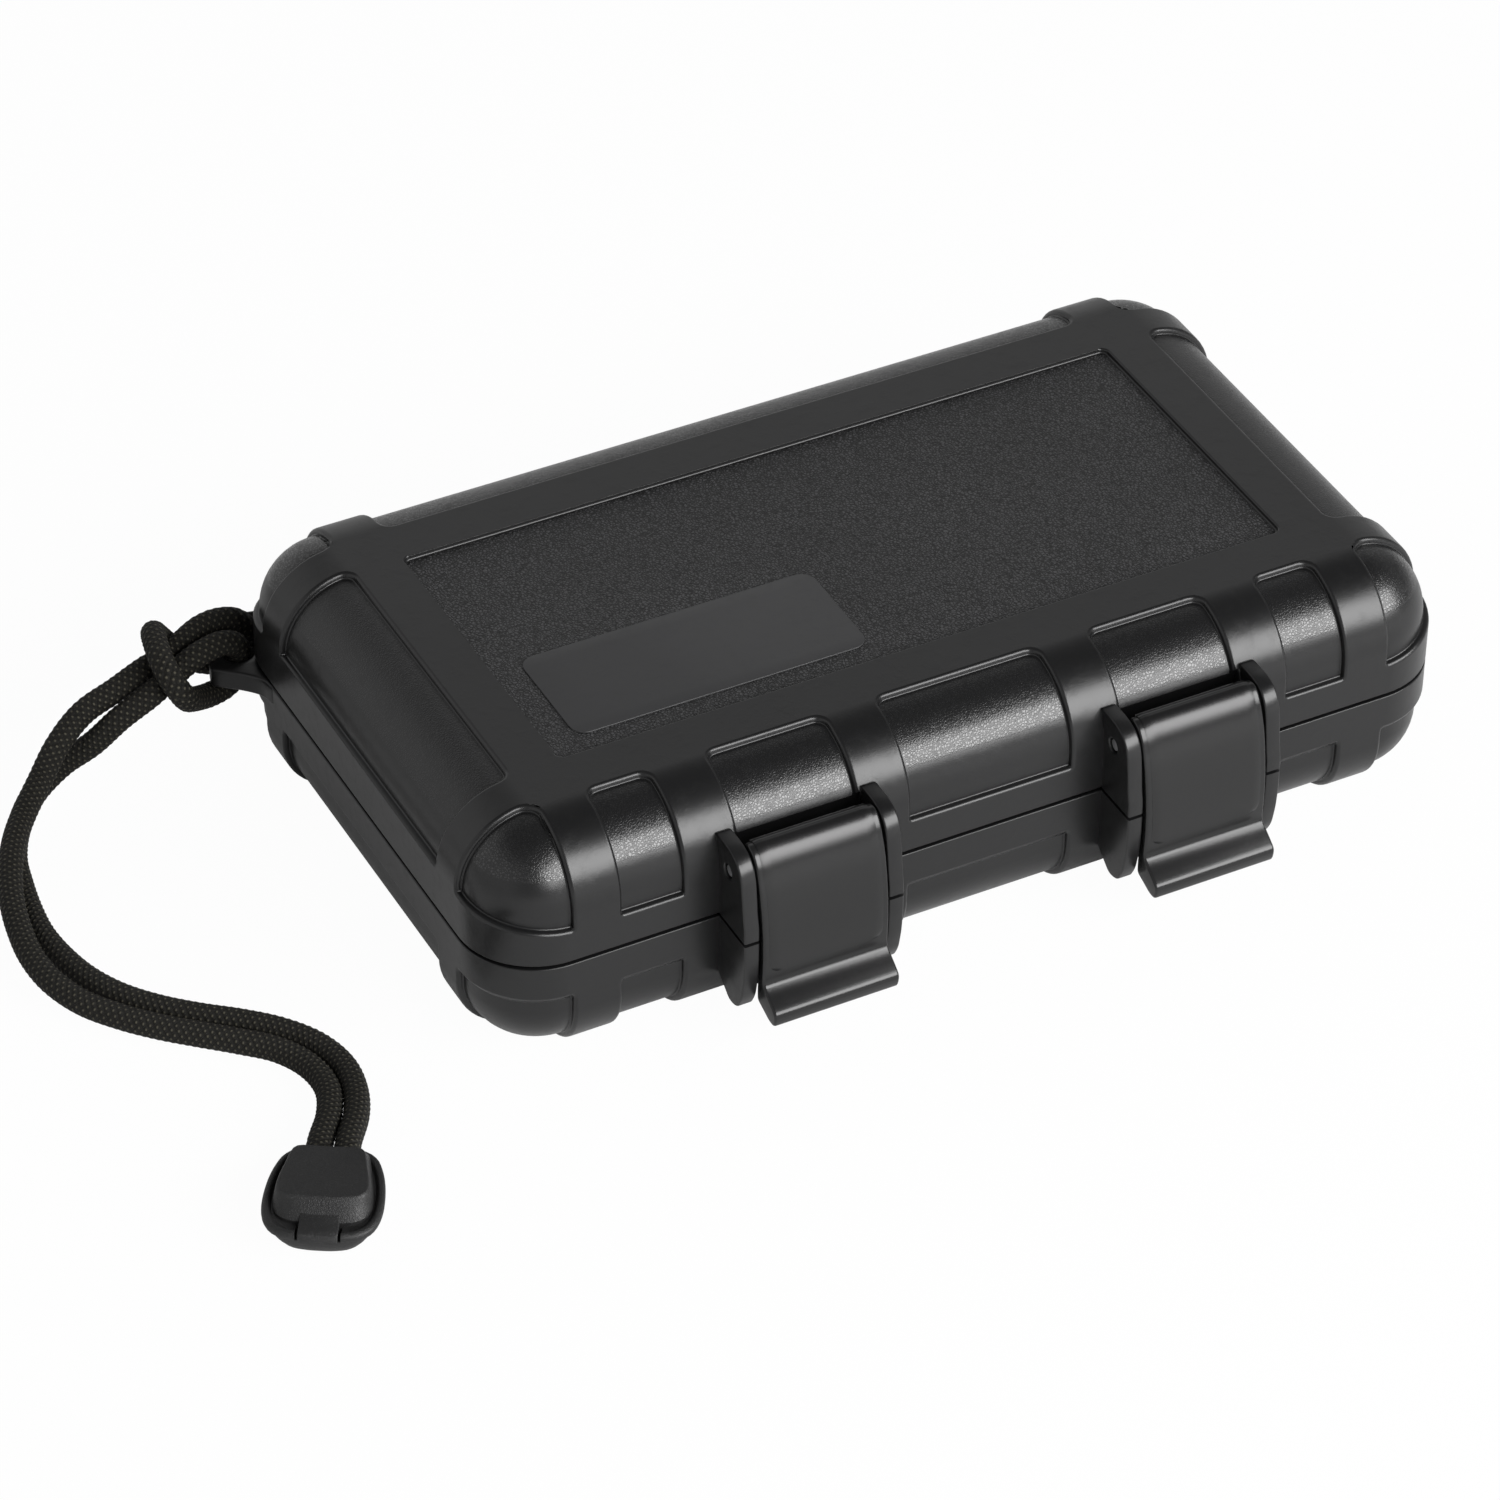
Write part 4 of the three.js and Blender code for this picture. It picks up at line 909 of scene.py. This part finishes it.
class ShellForm:
    """The rounded outside of a shell, in millimetres: its rounded rim is at the top or at the bottom."""

    def __init__(self, edge, level, at_top):
        case = sizes()
        self.half_x = case.length / MM / 2
        self.half_y = case.width / MM / 2
        self.depth = case.pocket_depth / MM
        self.edge = edge / MM
        self.level = level
        self.at_top = at_top

    def solid(self, name, inset, z, corner_steps=16, edge_steps=14):
        """The form between two heights, smaller all round by the inset."""
        return rounded_form(
            name, self.half_x - inset, self.half_y - inset, z, CORNER - inset, self.edge - inset, self.at_top,
            corner_steps, edge_steps)

    def frame(self, name, outer, inner, thickness, edge, z):
        """A flat frame between two insets."""
        outlines = [rounded_rectangle(self.half_x - inset, self.half_y - inset, CORNER - inset, 12)
                    for inset in (outer, inner)]
        return outline_plate(name, outlines, thickness, edge, flat_at(z))

    def away(self, point):
        """The way from the form's core to a point, in metres. Its length is the edge radius on the form."""
        core_x, core_y = (self.half_x - CORNER) * MM, (self.half_y - CORNER) * MM
        rest = (CORNER - self.edge) * MM
        core_z = (self.level - self.edge if self.at_top else self.level + self.edge) * MM
        near_x = max(-core_x, min(core_x, point.x))
        near_y = max(-core_y, min(core_y, point.y))
        off = Vector((point.x - near_x, point.y - near_y))
        if off.length > rest:
            off = off * (1 - rest / off.length)
        else:
            off = Vector((0, 0))
        rise = point.z - core_z
        rise = max(0.0, rise) if self.at_top else min(0.0, rise)
        return Vector((off.x, off.y, rise))

    def dress(self, obj):
        """Give the curved faces the form's own normals, and mark the pocket floors."""
        mesh = obj.data
        normals = [Vector((0, 0, 0)) for _ in mesh.vertices]
        on_form = set()
        pocket = []
        for face in mesh.polygons:
            reach = self.away(face.center)
            distance = reach.length / MM
            facing = face.normal.dot(reach.normalized()) > 0.985
            matches = distance > self.edge - self.depth - 0.15 and facing
            pocket.append(1.0 if matches and distance < self.edge - self.depth / 2 else 0.0)
            for index in face.vertices:
                normals[index] += face.normal * face.area
                if matches:
                    on_form.add(index)
        for index in on_form:
            normals[index] = self.away(mesh.vertices[index].co)
        only(obj)
        bpy.ops.object.shade_smooth()
        mesh.normals_split_custom_set_from_vertices([tuple(n.normalized()) for n in normals])
        mark_faces(obj, "pocket_grain", pocket)

    def round_rim(self, obj, rim):
        """A small radius on the outer edge of a shell's rim."""
        margin = 2
        corner_area = 0.0045

        def outer(points):
            wide = max(abs(p.x) for p in points) > (self.half_x - margin) * MM
            deep = max(abs(p.y) for p in points) > (self.half_y - margin) * MM
            in_corner = abs(points[0].x * points[0].y) > corner_area
            return at_level(points, rim) and (wide or deep or in_corner)

        bevel_where(obj, outer, 0.25, 2)


def corner_pocket(out_x, out_y, side, end, z, slanted):
    """The prism of one corner pocket. On the lid its floor slants down to the corner."""
    x = mirrored((POCKET_CORNER_X, out_x), side)
    y = mirrored((POCKET_CORNER_Y, out_y), end)
    corner = prism("pocket", x, y, z, 3)
    if slanted:
        point = (POCKET_CORNER_X * side * MM, POCKET_CORNER_Y * end * MM, 32.8 * MM)
        fall, run_x, run_y = 1.45, 15.3, 15.6
        slice_off(corner, point, (-fall / run_x * side, fall / run_y * end, 1), False)
    return corner


def cut_pockets(shell, form, front_z, side_z, corner_z, stops):
    """Take the pockets out of a shell, no deeper than the stops let them, and round all its edges."""
    out_x, out_y = form.half_x + 4, form.half_y + 4
    rim_x, rim_y = form.half_x - form.edge - 0.1, form.half_y - form.edge - 0.1
    front = (-out_y, -rim_y)
    pieces = [prism("pocket", (-16.3, 16.3), front, front_z)]
    pieces.append(prism("pocket", (-72.5, 72.5), (rim_y, out_y), front_z))
    for side in (-1, 1):
        pieces.append(prism("pocket", mirrored((26.8, 50.1), side), front, front_z))
        pieces.append(prism("pocket", mirrored((61.2, 73.2), side), front, front_z))
        pieces.append(prism("pocket", mirrored((rim_x, out_x), side), (-33, 33), side_z))
        for end in (-1, 1):
            pieces.append(corner_pocket(out_x, out_y, side, end, corner_z, form.at_top))
    pockets = join(*pieces)
    for stop in stops:
        combine(pockets, stop)
    combine(shell, pockets)
    weld(shell, 0.0003)
    fillet_edges(shell, sizes().fillet, 4, hollow=0.38)


def ears(top, split):
    """The four ears' parts that stand on one shell. The upper ones hold the pin."""
    width, offset = 3.0, 14.3
    outlines = [softened(EAR, 1.4, 4)]
    if top:
        outlines.append(circle(*LATCH_PIN, 1.45))
    pieces = []
    for middle in (-LATCH_X, LATCH_X):
        for hand in (-1, 1):
            ear = outline_plate("ear", outlines, width, 0.35, across(middle + hand * offset))
            pieces.append(cut_below(ear, split) if top else cut_above(ear, split))
    return pieces


def barrels(top, rim):
    """Hinge barrels with the webs that carry them: one wide pair on the lid, two narrow ones on the base."""
    sign = 1 if top else -1
    y, z = HINGE
    web = [(54.6, rim), (y - 3.2, rim), (y - 2.4, rim + sign * 2.2), (y + 2.3, rim + sign * 2.4),
           (y + 0.4, rim + sign * 3.6), (57.1, rim + sign * 8.2), (54.6, rim + sign * 8.2)]
    offsets, width = ([0], 16.0) if top else ([-12.8, 12.8], 9.0)
    barrel = [circle(y, z, 3.4, 40), circle(y, z, 1.5)]
    pieces = []
    for side in (-1, 1):
        for offset in offsets:
            place = across(side * LATCH_X + offset)
            pieces.append(outline_plate("web", [softened(web, 0.8, 3)], width, 0.3, place))
            pieces.append(outline_plate("barrel", barrel, width, 0.3, place))
    return pieces


def mark_panel(obj, height):
    """Mark the faces of the panel's floor, which has a grain of its own."""
    marks = []
    for face in obj.data.polygons:
        flat = face.normal.z > 0.99 and abs(face.center.z / MM - height) < 0.05
        inside = abs(face.center.x / MM) < PANEL_X and abs(face.center.y / MM) < PANEL_Y
        marks.append(1.0 if flat and inside else 0.0)
    mark_faces(obj, "panel_grain", marks)
    for mark, item in zip(marks, obj.data.attributes["pocket_grain"].data):
        if mark:
            item.value = 0.0


class CASE_OT_lid(bpy.types.Operator):
    """Make the lid: ribs and pockets, a grained panel with a bare plate, ears and hinge barrels"""
    bl_idname = "case.lid"
    bl_label = "Lid"

    def execute(self, context):
        s = sizes()
        top = s.height / MM
        rim = top - s.lid_height / MM + s.parting_gap / MM / 2
        panel_floor = top - PANEL_DEPTH
        form = ShellForm(s.lid_edge, top, True)
        lid = form.solid("lid", 0, (rim - FORM_SPARE, top))
        floor = form.solid("floor", form.depth, (rim - CUTTER_SPARE, top - form.depth))
        cut_pockets(lid, form, (31.4, 60), (34.3, 60), (24, 60), [floor])
        self.sink_panel(lid, panel_floor)
        cut_below(lid, rim)
        form.round_rim(lid, rim)
        combine(lid, form.solid("cavity", WALL, (rim - CUTTER_SPARE, top - LID_ROOF), 10, 8))
        for middle in (-LATCH_X, LATCH_X):
            combine(lid, rod("relief", 6.2, middle - 12.8, middle + 12.8, *LATCH_PIN, 48, 0.1))
        form.dress(lid)
        mark_panel(lid, panel_floor)
        plate = outline_plate(
            "plate", [rounded_rectangle(29.3, 12, 3, 8, -38.2, -15.3)], 0.8, 0.12, flat_at(panel_floor - 0.15))
        mark_faces(plate, "panel_grain", [0.5] * len(plate.data.polygons))
        tongue = form.frame("tongue", 1.6, 2.8, 0.9, 0.12, rim)
        lid = with_extras(lid, [plate, tongue] + ears(True, rim) + barrels(True, rim))
        finish_piece(lid, "lid_moulding", "moulded_shell", "lid", ["lid_shell"], None)
        return {"FINISHED"}

    def sink_panel(self, lid, panel_floor):
        """Cut the recess of the panel and round its level edges."""
        limit_x, limit_y = (PANEL_X + 0.1) * MM, (PANEL_Y + 0.1) * MM
        lowest = (panel_floor - 0.01) * MM

        def level_edge(points):
            inside = all(abs(p.x) < limit_x and abs(p.y) < limit_y and p.z > lowest for p in points)
            return inside and abs(points[0].z - points[1].z) < CLOSE

        combine(lid, prism("panel", (-PANEL_X, PANEL_X), (-PANEL_Y, PANEL_Y), (panel_floor, 60), 1.6))
        bevel_where(lid, level_edge, 0.4, 3)


def tab_outlines():
    """Outline of the lanyard tab round the corner's own centre, and of its curved slot."""
    cx, cy = -83.2, 42.1
    outline = arc(cx, cy, 12.6, 184, 109, 10)
    outline.append(polar(cx, cy, 18.7, 109))
    outline += arc(cx, cy, 23.3, 124, 167, 16)
    outline += [(-102.165, 44.355), (-100.38, 42.65), (-99.19, 41.275), (-98.51, 39.9)]
    outline += [(-98.0, 36.6), (-95.8, 36.6)]
    slot_middle, slot_end = 18.0, 2.9
    slot = arc(cx, cy, slot_middle + slot_end, 126, 154, 8)
    slot += arc(*polar(cx, cy, slot_middle, 154), slot_end, 154, 334, 10)[1:-1]
    slot += arc(cx, cy, slot_middle - slot_end, 154, 126, 8)
    slot += arc(*polar(cx, cy, slot_middle, 126), slot_end, 306, 486, 10)[1:-1]
    return [softened(outline, 1.2, 3), slot]


class CASE_OT_base(bpy.types.Operator):
    """Make the base: ribs and pockets, ears with keeper bars, hinge barrels and the lanyard tab"""
    bl_idname = "case.base"
    bl_label = "Base"

    def execute(self, context):
        s = sizes()
        rim = s.height / MM - s.lid_height / MM - s.parting_gap / MM / 2
        cutter_top = rim + CUTTER_SPARE
        form = ShellForm(s.base_edge, 0, False)
        base = form.solid("base", 0, (0, rim + FORM_SPARE))
        floor = form.solid("floor", form.depth, (form.depth, cutter_top))
        reach_x, reach_y, foot = form.half_x + 0.3, form.half_y + 0.3, 14.9
        ring = block("ring", (-reach_x, reach_x), (-reach_y, reach_y), (foot, cutter_top))
        bevel_where(ring, upright, CORNER + 0.3, 16)
        bevel_where(ring, lambda points: at_level(points, foot), 2.2, 1)
        low = (-5, 16.8)
        cut_pockets(base, form, low, low, low, [floor, ring])
        cut_above(base, rim)
        form.round_rim(base, rim)
        combine(base, form.solid("cavity", WALL, (BASE_FLOOR, cutter_top), 10, 8))
        combine(base, form.frame("groove", 1.2, 3.2, 3.8, 0.0, rim))
        form.dress(base)
        tab = outline_plate("tab", tab_outlines(), 4.2, 0.6, flat_at(rim - 2.1), 3)
        keepers = [rod("keeper", 1.8, middle - 13.4, middle + 13.4, -61.5, 17.3)
                   for middle in (-LATCH_X, LATCH_X)]
        base = with_extras(base, [tab] + keepers + ears(False, rim) + barrels(False, rim))
        finish_piece(base, "base_moulding", "moulded_shell", "base", ["base_shell"], None)
        return {"FINISHED"}


# Latches, pins, seal and foam

def raised_pad(name, face, middle, half, lift):
    """A low pad that follows a face drawn in Y and Z, with its lower corners rounded, in millimetres."""
    low, low_y = 16.9, -67.42
    corner, columns, row_step = 2.2, 24, 0.5
    path = extended([(0, y, z) for y, z in face])
    rows = []
    for i in range(1, len(path) - 2):
        steps = max(1, round((path[i + 1] - path[i]).length / row_step))
        rows += span_points(*path[i - 1:i + 3], steps)
    rows = [point for point in rows if point.z > low] + [Vector((0, low_y, low))]
    last, wide = len(rows) - 1, columns + 1
    vertices, faces = [], []
    for i, point in enumerate(rows):
        along = (rows[min(i + 1, last)] - rows[max(i - 1, 0)]).normalized()
        out = Vector((0, along.z, -along.y))
        into = max(0.0, corner - (point.z - low))
        reach = half - corner + math.sqrt(max(0.0, corner ** 2 - into ** 2))
        for k in range(wide):
            share = 2 * k / columns - 1
            rim = min(1.0, (1 - abs(share)) * columns / 2, i, last - i)
            vertices.append((Vector((middle + reach * share, 0, 0)) + point + out * (lift * rim)) * MM)
    top = len(vertices)
    vertices += [vertex + Vector((0, 0.0004, 0)) for vertex in vertices]
    for i in range(last):
        for k in range(columns):
            a, b = i * wide + k, (i + 1) * wide + k
            faces.append((a, a + 1, b + 1, b))
            faces.append((top + a, top + b, top + b + 1, top + a + 1))
    edge = list(range(wide)) + [i * wide + columns for i in range(1, len(rows))]
    edge += [last * wide + k for k in range(columns - 1, -1, -1)]
    edge += [i * wide for i in range(last - 1, 0, -1)]
    for a, b in zip(edge, edge[1:] + edge[:1]):
        faces.append((a, top + a, top + b, b))
    return closed_mesh(name, vertices, faces)


class CASE_OT_latches(bpy.types.Operator):
    """Make the two latches, with a rolled top, a curved face, a step and a pull lip"""
    bl_idname = "case.latches"
    bl_label = "Latches"

    def execute(self, context):
        outlines = [softened(LATCH, 0.8, 3), circle(*LATCH_PIN, 1.5)]
        for name, middle in (("left", -LATCH_X), ("right", LATCH_X)):
            latch = outline_plate("latch", outlines, LATCH_WIDTH, 0.5, across(middle), 3)
            catch = outline_plate("catch", [softened(HOOK, 0.5, 3)], LATCH_WIDTH - 0.8, 0.25, across(middle))
            pad = raised_pad("pad", LATCH[1:12], middle, LATCH_WIDTH / 2 - 1.2, 0.22)
            latch = with_extras(smooth(latch), [catch, pad])
            finish_piece(latch, "latch_moulding_" + name, "moulded_latch", "latch_" + name + "_body",
                         ["latch_" + name], 30)
        return {"FINISHED"}


class CASE_OT_pins(bpy.types.Operator):
    """Make the steel pins of the latches and the hinge"""
    bl_idname = "case.pins"
    bl_label = "Pins"

    def execute(self, context):
        kinds = (("latch", "lid", 1.2, 15.4, LATCH_PIN), ("hinge", "base", 1.3, 17.3, HINGE))
        for name, middle in (("left", -LATCH_X), ("right", LATCH_X)):
            for kind, body, radius, half, place in kinds:
                pin = rod("pin", radius, middle - half, middle + half, *place, edge=0.3)
                finish_piece(pin, kind + "_pin_turned_" + name, "pin_steel", body,
                             [kind + "_pin_" + name])
        return {"FINISHED"}


class CASE_OT_seal(bpy.types.Operator):
    """Make the rim seal in its groove"""
    bl_idname = "case.seal"
    bl_label = "Rim seal"

    def execute(self, context):
        low, high = (corner.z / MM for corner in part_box("rim_seal"))
        half_x, half_y, corner, thickness = 96.5, 55.4, 13.3, 1.4
        outlines = [rounded_rectangle(half_x - inset, half_y - inset, corner - inset, 16)
                    for inset in (0, thickness)]
        seal = outline_plate("seal", outlines, high - low, 0.6, flat_at((low + high) / 2), 4)
        finish_piece(seal, "rim_seal_moulding", "seal_rubber", "base", ["rim_seal"], 40)
        return {"FINISHED"}


class CASE_OT_foam(bpy.types.Operator):
    """Make the foam: a floor pad, a cut layer with wells and the wavy lid foam"""
    bl_idname = "case.foam"
    bl_label = "Foam"

    def execute(self, context):
        foot, pad_top, layer_foot, layer_top = 3.3, 7.0, 7.3, 23.05
        pad = self.filling("pad", (foot, 20), 8.3, False)
        cut_above(pad, pad_top)
        layer = self.filling("layer", (foot, 30), 8.3, False)
        cut_above(layer, layer_top)
        cut_below(layer, layer_foot)
        wells = [drum("well", 36, 40, (-50, 0, 16), sides=72)]
        wells.append(prism("well", (-4, 84), (-40, -20), (0, 40), 4))
        wells.append(prism("well", (-4, 58), (-8, 40), (0, 40), 4))
        wells.append(prism("well", (66, 84), (-8, 40), (0, 40), 4))
        wells.append(block("channel", (-32, 0), (-34, -26), (-1, 41)))
        for well in wells:
            combine(layer, well)
        for piece in (pad, layer):
            weld(piece, 0.0002)
            fillet_edges(piece, 0.0009, 3)
        self.soft(pad, "foam_pad_soft", "base", "foam_floor_pad")
        self.soft(layer, "foam_layer_soft", "base", "foam_cut_layer")
        self.soft(self.wavy(), "foam_lid_soft", "lid", "lid_foam")
        return {"FINISHED"}

    def filling(self, name, z, edge, at_top):
        """A form that fills the shells' inside in length and width."""
        return rounded_form(name, 93.3, 52.2, z, 10.1, edge, at_top, 10, 8)

    def soft(self, obj, name, body, node):
        finish_piece(obj, name, "case_foam", body, [node], 50)

    def wavy(self):
        """Sheet with rows of soft bumps, closed at its back and cut to the space in the lid."""
        half_x, half_y = 93.6, 52.5
        high = max(corner.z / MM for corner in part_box("lid_foam"))
        face, swell, waves_x, waves_y = high - 14.0, 2.5, 10, 6
        bpy.ops.object.select_all(action="DESELECT")
        bpy.ops.mesh.primitive_grid_add(x_subdivisions=160, y_subdivisions=96, size=1, location=(0, 0, 0))
        bpy.context.object.scale = (2 * half_x * MM, 2 * half_y * MM, 1)
        sheet = settle(bpy.context.object)
        for vertex in sheet.data.vertices:
            along_x = waves_x * math.pi * (vertex.co.x / MM + half_x) / half_x
            along_y = waves_y * math.pi * (vertex.co.y / MM + half_y) / half_y
            vertex.co.z = (face + swell * math.cos(along_x) * math.cos(along_y)) * MM
        choose_all(sheet, "FACE")
        bpy.ops.mesh.extrude_region_move(TRANSFORM_OT_translate={"value": (0, 0, 0.03)})
        done()
        cut_above(sheet, high)
        face_outwards(sheet)
        combine(sheet, self.filling("space", (20, high), 9.8, True), "INTERSECT")
        return weld(sheet, 0.00005)


# Cord end

def ring(half_outline, height, width_share=1.0, length_share=1.0, count=72):
    """Points of a closed outline at even angles, from shares of its right half, in millimetres."""
    whole = half_outline + [(-x, y) for x, y in reversed(half_outline[1:-1])]
    points = [Vector((x * HALF_WIDTH, y * HALF_LENGTH)) for x, y in whole]
    size = len(points)
    dense = []
    for i in range(size):
        dense += span_points(*(points[(i + k) % size] for k in (-1, 0, 1, 2)), 8)
    reach = sorted((math.atan2(p.y, p.x), p.length) for p in dense)
    reach = [(reach[-1][0] - 2 * math.pi, reach[-1][1])] + reach + [(reach[0][0] + 2 * math.pi, reach[0][1])]
    result, at = [], 0
    for k in range(count):
        angle = -math.pi + 2 * math.pi * k / count
        while reach[at + 1][0] < angle:
            at += 1
        (low, near), (high, far) = reach[at], reach[at + 1]
        length = near + (far - near) * (angle - low) / (high - low)
        result.append((length * math.cos(angle) * width_share, length * math.sin(angle) * length_share, height))
    return result


def blend(first, second, share):
    return [tuple(a + (b - a) * share for a, b in zip(p, q)) for p, q in zip(first, second)]


def loft(name, rings):
    """A closed body through rings of points, in millimetres."""
    size = len(rings[0])
    vertices = [Vector(p) * MM for row in rings for p in row]
    faces = bands(len(rings), size)
    faces.append(tuple(range(size)))
    faces.append(tuple((len(rings) - 1) * size + k for k in range(size)))
    return closed_mesh(name, vertices, faces)


class CASE_OT_cord_end(bpy.types.Operator):
    """Make the moulded cord end: a narrow bowl, and a cover with a rolled flange, a pad and a tongue"""
    bl_idname = "case.cord_end"
    bl_label = "Cord end"

    def execute(self, context):
        bowl = loft("bowl", [ring(CORD_END_PLAN, *row) for row in BOWL_ROWS])
        self.open_throat(bowl)
        self.finish(bowl, "cord_end_bowl", "cord_end_base")
        flange = loft("flange", [ring(CORD_END_PLAN, *row) for row in FLANGE_ROWS])
        for side in (-1, 1):
            combine(flange, block("notch", mirrored((3.45, 3.95), side), (8.2, 13), (4, 8)))
        pad = self.make_pad()
        outline = [(along * HALF_LENGTH, 4.95 + share * 4.85) for along, share in TONGUE]
        tongue = outline_plate("tongue", [outline], 6.9, 0.2, across(0))
        self.open_throat(flange)
        self.open_throat(pad)
        self.finish(with_extras(smooth(flange), [pad, tongue]), "cord_end_lid", "cord_end_cover")
        return {"FINISHED"}

    def make_pad(self):
        """The pad on the cover, from a wide foot over a sloping shoulder to its flat top."""
        foot, raised = ring(PAD_FOOT, 5.2), ring(PAD_FOOT, 6.5)
        shoulder, crown = ring(PAD_SHOULDER, 9.3), ring(PAD_TOP, 9.8)
        rows = [foot, raised] + [blend(raised, shoulder, share) for share in (0.1, 0.35, 0.65, 0.9)]
        rows += [shoulder, blend(shoulder, crown, 0.35), blend(shoulder, crown, 0.75), crown]
        for index, lift in ((7, 0.1), (8, 0.09)):
            rows[index] = [(x, y, z + lift) for x, y, z in rows[index]]
        return loft("pad", rows)

    def open_throat(self, obj):
        """Cut the two holes that the strands go into."""
        for side in (-1, 1):
            combine(obj, drum("throat", 2.6, 14, (side * 2.5, -9.4, 4.8), (math.pi / 2, 0, 0)))

    def finish(self, obj, name, node):
        turn = Matrix.Rotation(math.radians(149), 4, "Z")
        obj.matrix_world = Matrix.Translation((-0.1380, -0.0726, 0)) @ turn
        settle(obj)
        finish_piece(obj, name, "moulded_cord_end", "base", [node])


class CASE_PT_panel(bpy.types.Panel):
    """Lists the case's sizes, colours and pieces."""
    bl_idname = "CASE_PT_panel"
    bl_label = "Microphone case"
    bl_space_type = "VIEW_3D"
    bl_region_type = "UI"
    bl_category = "Case"

    def draw(self, context):
        layout = self.layout
        for group in (context.scene.case_sizes, context.scene.case_colours):
            for key in group.__annotations__:
                layout.prop(group, key)
        for operator in OPERATORS:
            layout.operator(operator.bl_idname)


OPERATORS = (
    CASE_OT_stage, CASE_OT_cord_end, CASE_OT_lanyard, CASE_OT_lid, CASE_OT_base, CASE_OT_latches, CASE_OT_pins,
    CASE_OT_seal, CASE_OT_foam,
)
CLASSES = (CaseSizes, CaseColours) + OPERATORS + (CASE_PT_panel,)


def register():
    for cls in CLASSES:
        bpy.utils.register_class(cls)
    bpy.types.Scene.case_sizes = bpy.props.PointerProperty(type=CaseSizes)
    bpy.types.Scene.case_colours = bpy.props.PointerProperty(type=CaseColours)


def unregister():
    del bpy.types.Scene.case_colours
    del bpy.types.Scene.case_sizes
    for cls in reversed(CLASSES):
        bpy.utils.unregister_class(cls)


def main():
    register()
    bpy.ops.case.stage()
    bpy.ops.case.cord_end()
    bpy.ops.case.lanyard()
    bpy.ops.case.lid()
    bpy.ops.case.base()
    bpy.ops.case.latches()
    bpy.ops.case.pins()
    bpy.ops.case.seal()
    bpy.ops.case.foam()
    bpy.context.view_layer.update()


if __name__ == "__main__":
    main()
